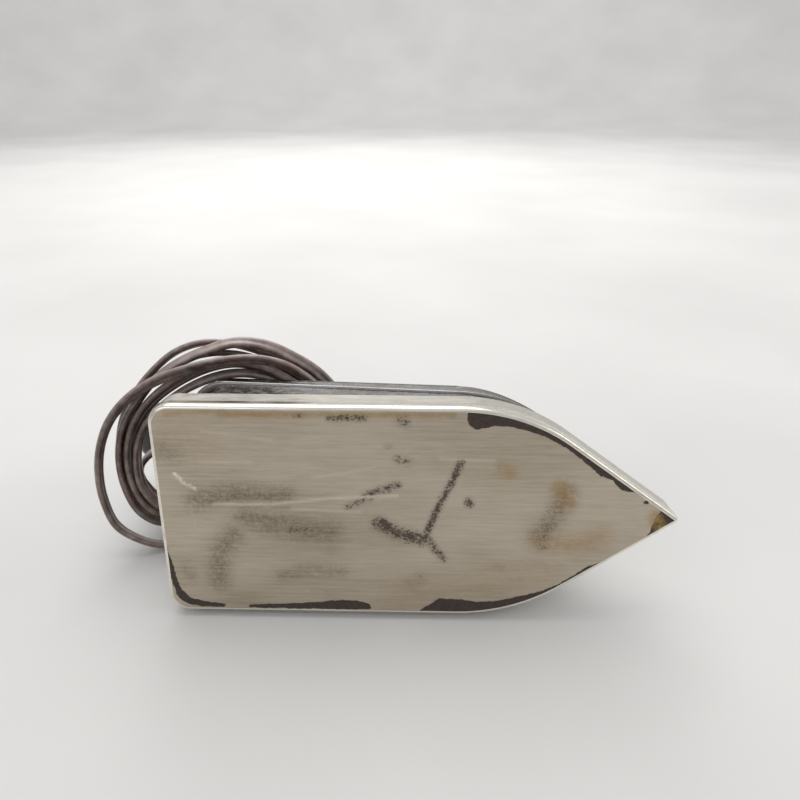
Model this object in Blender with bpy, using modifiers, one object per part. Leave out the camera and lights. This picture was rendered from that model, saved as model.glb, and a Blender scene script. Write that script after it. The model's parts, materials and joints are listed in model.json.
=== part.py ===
"""Antique electric flat iron lying on its side, with its flex coiled behind the heel.

The iron is modelled in its own frame, in metres: +X to the nose, +Y to its left side and +Z up from
the ironing face at z = 0, with x = 0 at the heel edge of the soleplate. One empty then lays it on its
left side, as it rests on a table: on the plate's upper edge and on the hood's shoulder. The finished
model has its origin at the middle of the iron's footprint, and +Z is up.
"""

import math

import bmesh
import bpy
from mathutils import Matrix, Vector

# ---- Fits -----------------------------------------------------------------------------------------
GAP = 0.0003            # between pieces that touch
HOLE_CLEARANCE = 0.0004  # around a screw, stud or shaft in its hole

# ---- Soleplate ------------------------------------------------------------------------------------
SOLE_LENGTH = 0.200
SOLE_HALF_WIDTH = 0.0444
SOLE_THICKNESS = 0.015
SHOULDER_X = 0.1383      # where the side would meet the straight edge of the nose
SHOULDER_RADIUS = 0.0706
HEEL_CORNER_RADIUS = 0.0082
TIP_RADIUS = 0.0018
SOLE_EDGE_ROUND = 0.0012

# ---- Heating stack, from the plate upwards --------------------------------------------------------
MICA_THICKNESS = 0.0006
RIBBON_RADIUS = 0.0005
RIBBON_PITCH = 0.0075
STACK_INSET = 0.009      # mica and ribbon stay this far inside the plate's outline
PRESSURE_INSET = 0.0075
PRESSURE_THICKNESS = 0.008
BOARD_THICKNESS = 0.0025
STACK_NOSE_X = 0.134     # the pressure plate ends here, clear of the hood's drop
BOARD_NOSE_X = 0.128     # and the board, which lies closer under the hood
MICA_NOSE_X = 0.166      # and the mica and the ribbon here
STUD_RADIUS = 0.003
STUD_FRONT_X = 0.118
STUD_REAR_X = 0.041
STUD_DEPTH = 0.009       # of the blind hole in the plate
NUT_FLATS_RADIUS = 0.0052
NUT_HEIGHT = 0.0045
WASHER_RADIUS = 0.0058
WASHER_THICKNESS = 0.001

# ---- Hood -----------------------------------------------------------------------------------------
HOOD_WALL = 0.0012
HOOD_INSET = 0.0026      # of its rim from the plate's outline
HOOD_CORNER_RADIUS = 0.017
HOOD_TIP_RADIUS = 0.004
HOOD_HEEL_RISE = 0.0325  # rim to shoulder at the heel
HOOD_FALL = 0.083        # of the shoulder's height for each metre forward
HOOD_NOSE_START = 0.116  # from here the hood drops to the nose
HOOD_NOSE_END = 0.192
HOOD_NOSE_KEEP = 0.13    # share of the rise that is left at the nose
BEAD_DEPTH = 0.0009      # how far the bead stands out of the hood's side
SHOULDER_INSET = 0.0042
DOME_RISE = 0.0055       # shoulder to deck

# ---- Handle ---------------------------------------------------------------------------------------
HANDLE_HALF_WIDTH = 0.0135
GRIP_HALF_HEIGHT = 0.012
GRIP_Z = 0.094
HEEL_REACH = 0.040       # of the handle behind the plate
HEEL_Z = 0.086
REAR_POST_X = 0.021
REAR_POST_HALF_DEPTH = 0.012
FRONT_FOOT_X = 0.143
FOOT_SINK = 0.006        # of the feet below the deck, before they are cut to it
FOOT_FLARE = 0.0015
FOOT_FLARE_HEIGHT = 0.022
HEEL_ROUND = 0.005
HANDLE_STEP = 0.008      # between the rings that shape the grip
HANDLE_SCREW_RADIUS = 0.0025
HANDLE_SCREW_LENGTH = 0.022
CORD_CHANNEL_RADIUS = 0.0042
CORD_CHANNEL_OFFSET = 0.0065  # of the cord's channel behind the middle of the rear post

# ---- Heat control ---------------------------------------------------------------------------------
DIAL_X = 0.091
DIAL_RADIUS = 0.0145
DIAL_HEIGHT = 0.010
DIAL_PLATE_RADIUS = 0.0165
DIAL_PLATE_THICKNESS = 0.0008
DIAL_SHAFT_RADIUS = 0.0025
CONTROL_LENGTH = 0.034
CONTROL_WIDTH = 0.014
CONTROL_HEIGHT = 0.005
STRIP_THICKNESS = 0.0008
LEAF_THICKNESS = 0.0005

# ---- Terminals ------------------------------------------------------------------------------------
TERMINAL_X = 0.023
TERMINAL_LENGTH = 0.018
TERMINAL_WIDTH = 0.030
TERMINAL_HEIGHT = 0.007
TERMINAL_SPACING = 0.016
TERMINAL_SCREW_RADIUS = 0.002
LEAD_RADIUS = 0.0009

# ---- Flex, its sleeve and its plug ----------------------------------------------------------------
FLEX_RADIUS = 0.0022
SLEEVE_Z = 0.0625
SLEEVE_LENGTH = 0.030
SLEEVE_ROOT_RADIUS = 0.0062
SLEEVE_TIP_RADIUS = 0.0042
COIL_RADIUS = 0.0085     # of the bundle of turns
PLUG_HALF_WIDTH = 0.0165
PLUG_HALF_HEIGHT = 0.0095
PLUG_BASE_LENGTH = 0.013
PLUG_COVER_LENGTH = 0.026
PLUG_PIN_RADIUS = 0.002
PLUG_PIN_LENGTH = 0.019
PLUG_PIN_SPACING = 0.019
PLUG_PIN_SEAT = 0.008    # of each pin inside the base
PLUG_SCREW_RADIUS = 0.0015
PLUG_MOUTH = (0.066, 0.127)  # x and z, in the iron's frame, of the place where the flex enters the plug

# Routes and the coil's middle line, in the iron's frame, chosen by hand. The iron's left side, +Y, is
# the one on the table.
LEAD_ROUTE = (
    (-0.0223, 0.0000, 0.0625),
    (-0.0262, -0.0003, 0.0623),
    (-0.0302, -0.0012, 0.0610),
    (-0.0332, -0.0026, 0.0582),
    (-0.0346, -0.0036, 0.0550),
    (-0.0350, -0.0042, 0.0519),
)
COIL_LINE = (
    (-0.035, -0.004, 0.043),
    (-0.032, 0.016, 0.0415),
    (-0.021, 0.0293, 0.0435),
    (-0.006, 0.0293, 0.0545),
    (0.011, 0.0275, 0.0605),
    (0.032, 0.0235, 0.0605),
    (0.051, 0.0120, 0.0600),
    (0.061, -0.008, 0.0595),
    (0.057, -0.029, 0.0590),
    (0.040, -0.0440, 0.0570),
    (0.016, -0.0500, 0.0535),
    (-0.009, -0.0440, 0.0490),
    (-0.027, -0.0270, 0.0450),
)
END_ROUTE = (
    (0.022, 0.0262, 0.0694),
    (0.022, 0.0285, 0.0790),
    (0.022, 0.0303, 0.0890),
    (0.024, 0.0298, 0.0990),
    (0.030, 0.0284, 0.1090),
    (0.039, 0.0268, 0.1180),
    (0.048, 0.0232, 0.1243),
    (0.057, 0.0203, 0.1267),
    (0.0654, 0.0197, 0.1270),
)

FINISHES = {            # colour, roughness, metallic
    "worn_steel": ((0.46, 0.42, 0.36, 1), 0.38, 1.0),
    "plated_steel": ((0.30, 0.30, 0.31, 1), 0.28, 1.0),
    "bright_steel": ((0.60, 0.60, 0.60, 1), 0.25, 1.0),
    "cast_iron": ((0.10, 0.10, 0.10, 1), 0.75, 0.6),
    "mica": ((0.55, 0.47, 0.34, 1), 0.45, 0.0),
    "resistance_wire": ((0.25, 0.24, 0.23, 1), 0.45, 1.0),
    "mineral_board": ((0.62, 0.60, 0.55, 1), 0.90, 0.0),
    "bakelite": ((0.012, 0.011, 0.011, 1), 0.22, 0.0),
    "porcelain": ((0.80, 0.78, 0.72, 1), 0.25, 0.0),
    "brass": ((0.55, 0.40, 0.16, 1), 0.30, 1.0),
    "aluminium": ((0.65, 0.65, 0.66, 1), 0.35, 1.0),
    "rubber": ((0.02, 0.018, 0.017, 1), 0.60, 0.0),
    "brown_flex": ((0.075, 0.042, 0.033, 1), 0.35, 0.0),
}

parts = bpy.data.collections.new("electric_iron")
cutters = bpy.data.collections.new("cutters")


# ---- Making and finishing objects -----------------------------------------------------------------
def own_material(name, kind):
    colour, roughness, metallic = FINISHES[kind]
    material = bpy.data.materials.new(name)
    material.use_nodes = True
    shader = material.node_tree.nodes["Principled BSDF"]
    shader.inputs["Base Color"].default_value = colour
    shader.inputs["Roughness"].default_value = roughness
    shader.inputs["Metallic"].default_value = metallic
    return material


def add(name, data, kind, parent, place=(0, 0, 0), turn=(0, 0, 0)):
    """An object of the model, with its own material, in the parts collection."""
    piece = bpy.data.objects.new(name, data)
    parts.objects.link(piece)
    piece.parent = parent
    piece.location = place
    piece.rotation_euler = turn
    data.materials.clear()
    data.materials.append(own_material(name, kind))
    return piece


def add_cutter(name, data, parent, place=(0, 0, 0), turn=(0, 0, 0)):
    cutter = bpy.data.objects.new(name, data)
    cutters.objects.link(cutter)
    cutter.parent = parent
    cutter.location = place
    cutter.rotation_euler = turn
    cutter.hide_render = True
    cutter.display_type = "WIRE"
    return cutter


def boolean(piece, other, operation="DIFFERENCE"):
    modifier = piece.modifiers.new(operation.lower() + "_" + other.name, "BOOLEAN")
    modifier.operation = operation
    modifier.solver = "EXACT"
    modifier.object = other


def round_edges(piece, width, segments=2, angle=60):
    modifier = piece.modifiers.new("rounded_edges", "BEVEL")
    modifier.width = width
    modifier.segments = segments
    modifier.limit_method = "ANGLE"
    modifier.angle_limit = math.radians(angle)


def smooth(mesh, angle=35):
    mesh.shade_smooth()
    mesh.set_sharp_from_angle(angle=math.radians(angle))
    return mesh


def mesh_from(work, name):
    mesh = bpy.data.meshes.new(name)
    work.normal_update()
    work.to_mesh(mesh)
    work.free()
    return smooth(mesh)


def curve_to_mesh(curve, name):
    """The curve's evaluated surface as a mesh, with its loose caps welded on."""
    helper = bpy.data.objects.new(name, curve)
    bpy.context.scene.collection.objects.link(helper)
    evaluated = helper.evaluated_get(bpy.context.evaluated_depsgraph_get())
    mesh = bpy.data.meshes.new_from_object(evaluated)
    bpy.data.objects.remove(helper)
    bpy.data.curves.remove(curve)
    work = bmesh.new()
    work.from_mesh(mesh)
    bpy.data.meshes.remove(mesh)
    bmesh.ops.remove_doubles(work, verts=work.verts, dist=0.00001)
    bmesh.ops.recalc_face_normals(work, faces=work.faces)
    return mesh_from(work, name)


# ---- Shapes ---------------------------------------------------------------------------------------
def rod(name, radius, length, sides=24, top_radius=None):
    """A round bar along +Z from z = 0, or a cone if it has a top radius."""
    work = bmesh.new()
    bmesh.ops.create_cone(
        work,
        cap_ends=True,
        segments=sides,
        radius1=radius,
        radius2=radius if top_radius is None else top_radius,
        depth=length,
        matrix=Matrix.Translation((0, 0, length / 2)),
    )
    return mesh_from(work, name)


def block(name, length, width, height):
    """A box with its bottom face on z = 0."""
    work = bmesh.new()
    size = Matrix.Diagonal((length, width, height, 1))
    bmesh.ops.create_cube(work, size=1, matrix=Matrix.Translation((0, 0, height / 2)) @ size)
    return mesh_from(work, name)


def slab(name, outline, thickness):
    """A flat outline, given thickness, with its bottom face on z = 0."""
    curve = bpy.data.curves.new(name, "CURVE")
    curve.dimensions = "2D"
    curve.fill_mode = "BOTH"
    curve.extrude = thickness / 2
    spline = curve.splines.new("POLY")
    spline.points.add(len(outline) - 1)
    for point, (x, y) in zip(spline.points, outline):
        point.co = (x, y, 0, 1)
    spline.use_cyclic_u = True
    mesh = curve_to_mesh(curve, name)
    mesh.transform(Matrix.Translation((0, 0, thickness / 2)))
    return mesh


def tube_curve(name, points, radius, closed=False):
    curve = bpy.data.curves.new(name, "CURVE")
    curve.dimensions = "3D"
    curve.bevel_depth = radius
    curve.bevel_resolution = 2
    curve.use_fill_caps = not closed
    spline = curve.splines.new("POLY")
    spline.points.add(len(points) - 1)
    for point, place in zip(spline.points, points):
        point.co = (*place, 1)
    spline.use_cyclic_u = closed
    return curve


def turned(name, profile):
    """A profile of (radius, height) pairs, from the top down, turned about Z and closed on the axis."""
    work = bmesh.new()
    points = [work.verts.new((radius, 0, height)) for radius, height in profile]
    for upper, lower in zip(points, points[1:]):
        work.edges.new((upper, lower))
    mesh = bpy.data.meshes.new(name)
    work.to_mesh(mesh)
    work.free()
    return mesh


def screw_round(piece, steps=32):
    modifier = piece.modifiers.new("turned", "SCREW")
    modifier.steps = steps
    modifier.render_steps = steps
    modifier.use_merge_vertices = True
    modifier.merge_threshold = 0.00001


def loft(name, rings, cap_first=True, cap_last=True):
    """Rings of equal count joined in order. An end's cap joins each point to its mirror across the ring."""
    work = bmesh.new()
    rows = [[work.verts.new(point) for point in ring] for ring in rings]
    count = len(rows[0])
    for lower, upper in zip(rows, rows[1:]):
        for i in range(count):
            j = (i + 1) % count
            work.faces.new((lower[i], lower[j], upper[j], upper[i]))
    for row, wanted in ((rows[0], cap_first), (rows[-1], cap_last)):
        if wanted:
            for i in range(count // 2):
                a, b = i, count - 1 - i
                if b - a > 1:
                    corners = (row[a], row[a + 1], row[b - 1], row[b])
                    work.faces.new(corners if b - 1 > a + 1 else corners[:2] + corners[3:])
    if cap_first and cap_last:
        bmesh.ops.recalc_face_normals(work, faces=work.faces)
    return mesh_from(work, name)


def smooth_route(points, spacing, closed=False):
    """Points about spacing apart on a smooth curve through the given points."""
    knots = [Vector(point) for point in points]
    spans = len(knots) if closed else len(knots) - 1
    route = []
    for i in range(spans):
        if closed:
            around = [knots[(i + k) % len(knots)] for k in (-1, 0, 1, 2)]
        else:
            around = [knots[min(max(i + k, 0), len(knots) - 1)] for k in (-1, 0, 1, 2)]
        before, start, end, after = around
        steps = max(1, round((end - start).length / spacing))
        for step in range(steps):
            t = step / steps
            route.append(
                0.5 * (
                    2 * start
                    + (end - before) * t
                    + (2 * before - 5 * start + 4 * end - after) * t * t
                    + (3 * start - before - 3 * end + after) * t ** 3
                )
            )
    if not closed:
        route.append(knots[-1])
    return route


# ---- Outlines -------------------------------------------------------------------------------------
def plate_corners(inset):
    """The five corners of the soleplate's outline, moved in by inset, from the tip to the left side."""
    nose = math.atan2(SOLE_HALF_WIDTH, SOLE_LENGTH - SHOULDER_X)
    tip = SOLE_LENGTH - inset / math.sin(nose)
    half = SOLE_HALF_WIDTH - inset
    shoulder = tip - half / math.tan(nose)
    return [(tip, 0), (shoulder, half), (inset, half), (inset, -half), (shoulder, -half)]


def filleted(corners, radii, steps):
    """The outline through corners, with each corner rounded to its radius in its number of steps."""
    outline = []
    for i, corner in enumerate(corners):
        corner = Vector(corner)
        to_last = (Vector(corners[i - 1]) - corner).normalized()
        to_next = (Vector(corners[(i + 1) % len(corners)]) - corner).normalized()
        half_angle = to_last.angle(to_next) / 2
        reach = radii[i] / math.tan(half_angle)
        middle = corner + (to_last + to_next).normalized() * (radii[i] / math.sin(half_angle))
        first = corner + to_last * reach - middle
        turn = math.pi - 2 * half_angle
        turn = turn if to_last.cross(to_next) < 0 else -turn
        for step in range(steps[i] + 1):
            outline.append(middle + Matrix.Rotation(turn * step / steps[i], 2) @ first)
    return outline


def plate_outline(inset, corner_radius, tip_radius):
    """Counter-clockwise from above, with two points beside the tip, so that it mirrors about its middle."""
    shoulder = max(SHOULDER_RADIUS - inset, 0.02)
    outline = filleted(
        plate_corners(inset),
        (tip_radius, shoulder, corner_radius, corner_radius, shoulder),
        (7, 8, 6, 6, 8),
    )
    return outline[4:] + outline[:4]


def blunted(outline, nose_x):
    """The outline cut off straight at nose_x."""
    kept = []
    for i, point in enumerate(outline):
        last = outline[i - 1]
        if (point.x > nose_x) != (last.x > nose_x):
            kept.append(last.lerp(point, (nose_x - last.x) / (point.x - last.x)))
        if point.x <= nose_x:
            kept.append(point)
    return kept


def ring_of(outline, height):
    """The outline in space, at a height that is a number or a function of x."""
    return [(p.x, p.y, height(p.x) if callable(height) else height) for p in outline]


def oval(half_width, half_height, squareness, count=20):
    """A rounded rectangle as a superellipse, mirrored about its middle, as (across, up) pairs."""
    shape = []
    for i in range(count):
        angle = 2 * math.pi * (i + 0.5) / count
        c, s = math.cos(angle), math.sin(angle)
        power = 2 / squareness
        shape.append(
            (
                half_width * math.copysign(abs(s) ** power, s),
                half_height * math.copysign(abs(c) ** power, c),
            )
        )
    return shape


# ---- Hood heights ---------------------------------------------------------------------------------
HOOD_RIM_Z = SOLE_THICKNESS + GAP


def hood_rise(x):
    """Rim to shoulder at x: a gentle fall forward, then a drop to the nose."""
    t = min(max((x - HOOD_NOSE_START) / (HOOD_NOSE_END - HOOD_NOSE_START), 0), 1)
    drop = t * t * (3 - 2 * t)
    return (HOOD_HEEL_RISE - HOOD_FALL * x) * (1 - (1 - HOOD_NOSE_KEEP) * drop)


def hood_height(share, dome=0.0):
    """The height at x of a line round the hood: a share of the rise, plus a share of the dome."""
    return lambda x: HOOD_RIM_Z + share * hood_rise(x) + dome * DOME_RISE * hood_rise(x) / HOOD_HEEL_RISE


def bead_height(above):
    """The bead falls faster than the shoulder."""
    return lambda x: HOOD_RIM_Z + (0.78 - 2.1 * x + above / HOOD_HEEL_RISE) * hood_rise(x)


deck_height = hood_height(1, 1)
shoulder_height = hood_height(1)


def hood_lines():
    """The lines round the hood's outer surface, from rim to deck: inset, corner radius and height."""
    return (
        (HOOD_INSET, HOOD_CORNER_RADIUS, HOOD_RIM_Z),
        (HOOD_INSET + 0.0006, HOOD_CORNER_RADIUS, bead_height(-0.0016)),
        (HOOD_INSET - BEAD_DEPTH + 0.0006, HOOD_CORNER_RADIUS, bead_height(-0.0008)),
        (HOOD_INSET - BEAD_DEPTH + 0.0006, HOOD_CORNER_RADIUS, bead_height(0)),
        (HOOD_INSET + 0.0007, HOOD_CORNER_RADIUS, bead_height(0.0010)),
        (SHOULDER_INSET, HOOD_CORNER_RADIUS, shoulder_height),
        (SHOULDER_INSET + 0.0018, HOOD_CORNER_RADIUS, hood_height(1, 0.45)),
        (SHOULDER_INSET + 0.0052, HOOD_CORNER_RADIUS * 0.9, hood_height(1, 0.80)),
        (SHOULDER_INSET + 0.0110, HOOD_CORNER_RADIUS * 0.7, hood_height(1, 0.95)),
        (SHOULDER_INSET + 0.0200, HOOD_CORNER_RADIUS * 0.45, deck_height),
    )


def hood_rings(grow, lines):
    """Those lines as rings, moved out and up by grow, and open at the rim."""
    rings = []
    for inset, corner, height in lines:
        outline = plate_outline(inset - grow, corner, HOOD_TIP_RADIUS)
        lift = 0 if height is HOOD_RIM_Z else grow
        rings.append([(x, y, z + lift) for x, y, z in ring_of(outline, height)])
    return rings


# ---- Placing the iron on the table ----------------------------------------------------------------
def rest_tilt():
    """The lean that brings the plate's upper edge and the hood's shoulder onto the table together."""
    x = HOOD_CORNER_RADIUS + SHOULDER_INSET
    return math.atan(SHOULDER_INSET / (shoulder_height(x) - SOLE_THICKNESS))


def new_empty(name, parent=None, place=(0, 0, 0), turn=(0, 0, 0)):
    empty = bpy.data.objects.new(name, None)
    parts.objects.link(empty)
    empty.parent = parent
    empty.location = place
    empty.rotation_euler = turn
    return empty


def stand_on_table(iron, cord_names):
    """Moves the iron so that its lowest point is at z = 0 and its footprint is centred on the origin."""
    bpy.context.view_layer.update()
    graph = bpy.context.evaluated_depsgraph_get()
    corners = []
    for piece in parts.objects:
        if piece.type == "EMPTY" or piece.name in cord_names:
            continue
        evaluated = piece.evaluated_get(graph)
        mesh = evaluated.to_mesh()
        corners += [evaluated.matrix_world @ vertex.co for vertex in mesh.vertices]
        evaluated.to_mesh_clear()
    low = Vector([min(c[k] for c in corners) for k in range(3)])
    high = Vector([max(c[k] for c in corners) for k in range(3)])
    middle = (low + high) / 2
    iron.location -= Vector((middle.x, middle.y, low.z))
    bpy.context.view_layer.update()


# ---- Soleplate and heating stack ------------------------------------------------------------------
MICA_LOWER_Z = SOLE_THICKNESS + GAP
RIBBON_Z = MICA_LOWER_Z + MICA_THICKNESS + GAP + RIBBON_RADIUS
MICA_UPPER_Z = RIBBON_Z + RIBBON_RADIUS + GAP
PRESSURE_Z = MICA_UPPER_Z + MICA_THICKNESS + GAP
BOARD_Z = PRESSURE_Z + PRESSURE_THICKNESS + GAP
BOARD_TOP = BOARD_Z + BOARD_THICKNESS
STUDS = (("front", STUD_FRONT_X), ("rear", STUD_REAR_X))


def drill(piece, name, radius, x, bottom, depth, y=0.0):
    """Cuts a vertical hole of that radius from bottom upwards."""
    cutter = add_cutter(name, rod(name, radius, depth), piece.parent, (x, y, bottom))
    boolean(piece, cutter)


def stud_holes(piece, bottom, depth):
    for end, x in STUDS:
        drill(piece, f"{piece.name}_hole_{end}", STUD_RADIUS + HOLE_CLEARANCE, x, bottom, depth)


def make_soleplate(iron):
    outline = plate_outline(0, HEEL_CORNER_RADIUS, TIP_RADIUS)
    plate = add("soleplate", slab("soleplate", outline, SOLE_THICKNESS), "worn_steel", iron)
    round_edges(plate, SOLE_EDGE_ROUND)
    stud_holes(plate, SOLE_THICKNESS - STUD_DEPTH, 2 * STUD_DEPTH)


def make_layer(iron, name, inset, nose_x, bottom, thickness, kind):
    outline = blunted(plate_outline(inset, HEEL_CORNER_RADIUS, TIP_RADIUS), nose_x)
    layer = add(name, slab(name, outline, thickness), kind, iron, (0, 0, bottom))
    stud_holes(layer, bottom - thickness, 3 * thickness)
    return layer


def make_heating_ribbon(iron):
    """A ribbon that runs to and fro across the plate, from the heel to the nose and clear of the studs."""
    nose = math.atan2(SOLE_HALF_WIDTH, SOLE_LENGTH - SHOULDER_X)
    margin = STACK_INSET + 0.004
    first = margin
    last = MICA_NOSE_X - 0.004
    keep_off = STUD_RADIUS + HOLE_CLEARANCE + 3 * RIBBON_RADIUS
    runs = int((last - first) / RIBBON_PITCH)
    points = []
    side = 1
    for i in range(runs + 1):
        x = first + i * RIBBON_PITCH
        for _, stud in STUDS:
            if abs(x - stud) < keep_off:
                x = stud + math.copysign(keep_off, x - stud)
        narrow = (SOLE_LENGTH - x) * math.tan(nose) - margin / math.cos(nose)
        reach = min(SOLE_HALF_WIDTH - margin, narrow)
        points += [(x, -side * reach, RIBBON_Z), (x, side * reach, RIBBON_Z)]
        side = -side
    ribbon = tube_curve("heating_ribbon", points, RIBBON_RADIUS)
    add("heating_ribbon", ribbon, "resistance_wire", iron)


def make_heating_stack(iron):
    make_layer(iron, "mica_lower", STACK_INSET, MICA_NOSE_X, MICA_LOWER_Z, MICA_THICKNESS, "mica")
    make_heating_ribbon(iron)
    make_layer(iron, "mica_upper", STACK_INSET, MICA_NOSE_X, MICA_UPPER_Z, MICA_THICKNESS, "mica")
    inset = PRESSURE_INSET
    make_layer(iron, "pressure_plate", inset, STACK_NOSE_X, PRESSURE_Z, PRESSURE_THICKNESS, "cast_iron")
    kind = "mineral_board"
    board = make_layer(iron, "insulation_board", inset, BOARD_NOSE_X, BOARD_Z, BOARD_THICKNESS, kind)
    for end, x in STUDS:
        radius = WASHER_RADIUS + 2 * HOLE_CLEARANCE
        drill(board, f"board_well_{end}", radius, x, BOARD_Z - BOARD_THICKNESS, 3 * BOARD_THICKNESS)


def washer(name, iron, x, bottom):
    piece = add(name, rod(name, WASHER_RADIUS, WASHER_THICKNESS), "bright_steel", iron, (x, 0, bottom))
    radius = STUD_RADIUS + HOLE_CLEARANCE
    drill(piece, name + "_hole", radius, x, bottom - WASHER_THICKNESS, 3 * WASHER_THICKNESS)


def make_studs(iron):
    """Each stud clamps the stack with a nut, and carries the hood under a domed nut."""
    for end, x in STUDS:
        top = deck_height(x - WASHER_RADIUS) + GAP + WASHER_THICKNESS + GAP
        bottom = SOLE_THICKNESS - STUD_DEPTH + GAP
        length = top + 0.6 * NUT_HEIGHT - bottom
        add(f"stud_{end}", rod(f"stud_{end}", STUD_RADIUS, length), "bright_steel", iron, (x, 0, bottom))
        seat = PRESSURE_Z + PRESSURE_THICKNESS + GAP
        washer(f"clamp_washer_{end}", iron, x, seat)
        nut_z = seat + WASHER_THICKNESS + GAP
        hexagon = rod(f"clamp_nut_{end}", NUT_FLATS_RADIUS, NUT_HEIGHT, sides=6)
        nut = add(f"clamp_nut_{end}", hexagon, "bright_steel", iron, (x, 0, nut_z))
        radius = STUD_RADIUS + HOLE_CLEARANCE
        drill(nut, f"clamp_nut_hole_{end}", radius, x, nut_z - NUT_HEIGHT, 3 * NUT_HEIGHT)
        washer(f"hood_washer_{end}", iron, x, top - GAP - WASHER_THICKNESS)
        make_domed_nut(iron, end, x, top)


def make_domed_nut(iron, end, x, bottom):
    name = f"domed_nut_{end}"
    nut = add(name, rod(name, NUT_FLATS_RADIUS, NUT_HEIGHT, sides=6), "bright_steel", iron, (x, 0, bottom))
    dome = bmesh.new()
    bmesh.ops.create_uvsphere(dome, u_segments=16, v_segments=10, radius=0.82 * NUT_FLATS_RADIUS)
    ball = add_cutter(name + "_dome", mesh_from(dome, name + "_dome"), iron, (x, 0, bottom + NUT_HEIGHT))
    boolean(nut, ball, "UNION")
    radius = STUD_RADIUS + HOLE_CLEARANCE
    drill(nut, name + "_bore", radius, x, bottom - NUT_HEIGHT, 1.75 * NUT_HEIGHT)


# ---- Hood -----------------------------------------------------------------------------------------
def make_hood(iron):
    lines = hood_lines()
    hood = add("hood", loft("hood", hood_rings(0, lines)), "plated_steel", iron)
    plain = [(HOOD_INSET + 0.0006, HOOD_CORNER_RADIUS, HOOD_RIM_Z), *lines[5:]]
    hollow = hood_rings(-HOOD_WALL, plain)
    mouth = [(x, y, z - 2 * HOOD_WALL) for x, y, z in hollow[0]]
    boolean(hood, add_cutter("hood_hollow", loft("hood_hollow", [mouth, *hollow]), iron))
    for end, x in STUDS:
        drill(hood, f"hood_hole_{end}", STUD_RADIUS + HOLE_CLEARANCE, x, BOARD_TOP, 0.05)
    for end, x in HANDLE_SCREWS:
        drill(hood, f"hood_screw_hole_{end}", HANDLE_SCREW_RADIUS + HOLE_CLEARANCE, x, SOLE_THICKNESS, 0.05)
    drill(hood, "hood_cord_hole", CORD_CHANNEL_RADIUS, CORD_CHANNEL_X, BOARD_TOP, 0.05)
    cutter = add_cutter(
        "hood_dial_hole",
        rod("hood_dial_hole", DIAL_SHAFT_RADIUS + HOLE_CLEARANCE, 0.03),
        deck_frame(iron),
        (0, 0, -0.015),
    )
    boolean(hood, cutter)


# ---- Handle ---------------------------------------------------------------------------------------
CORD_CHANNEL_X = REAR_POST_X - CORD_CHANNEL_OFFSET
HANDLE_SCREWS = (("front", FRONT_FOOT_X), ("rear", REAR_POST_X + 0.0045))


def handle_line():
    """The middle of the grip, from the heel to the front foot inside the hood's deck."""
    foot = deck_height(FRONT_FOOT_X)
    knots = (
        (-HEEL_REACH, HEEL_Z),
        (0.2 * REAR_POST_X, HEEL_Z + 0.003),
        (2.0 * REAR_POST_X, GRIP_Z - 0.002),
        (0.5 * (REAR_POST_X + FRONT_FOOT_X), GRIP_Z),
        (FRONT_FOOT_X - 0.034, GRIP_Z - 0.0015),
        (FRONT_FOOT_X - 0.015, GRIP_Z - 0.0125),
        (FRONT_FOOT_X - 0.005, 0.42 * GRIP_Z + 0.58 * foot),
        (FRONT_FOOT_X, 0.08 * GRIP_Z + 0.92 * foot),
        (FRONT_FOOT_X + 0.001, foot - FOOT_SINK),
    )
    return smooth_route([(x, 0, z) for x, z in knots], HANDLE_STEP)


def grip_rings():
    """Rings square to that line, slimmer at the heel's rounded end and wider at the foot."""
    line = handle_line()
    start = line[0]
    line[1:1] = [start.lerp(line[1], 0.15), start.lerp(line[1], 0.45)]
    rings = []
    for i, middle in enumerate(line):
        along = (line[min(i + 1, len(line) - 1)] - line[max(i - 1, 0)]).normalized()
        up = Vector((0, -1, 0)).cross(along)
        trim = HEEL_ROUND * (0.55, 0.16, 0)[min(i, 2)]
        to_foot = max(0, 1 - (middle - line[-1]).length / FOOT_FLARE_HEIGHT)
        grown = FOOT_FLARE * to_foot * to_foot - trim
        shape = oval(HANDLE_HALF_WIDTH - 0.0005 + grown, GRIP_HALF_HEIGHT + grown, 3.2)
        rings.append([middle + Vector((0, y, 0)) + up * h for y, h in shape])
    return rings


def post_rings():
    """The rear post, from inside the grip down into the hood's deck."""
    foot = deck_height(REAR_POST_X)
    stations = (
        (HEEL_Z + 0.004, REAR_POST_HALF_DEPTH, HANDLE_HALF_WIDTH - 0.0025),
        (HEEL_Z - 0.4 * (HEEL_Z - foot), REAR_POST_HALF_DEPTH, HANDLE_HALF_WIDTH - 0.0025),
        (foot + 0.006, REAR_POST_HALF_DEPTH, HANDLE_HALF_WIDTH - 0.0018),
        (foot - FOOT_SINK, REAR_POST_HALF_DEPTH + 0.001, HANDLE_HALF_WIDTH - 0.0005),
    )
    return [[(REAR_POST_X + h, y, z) for y, h in oval(width, depth, 3.2)] for z, depth, width in stations]


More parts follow.
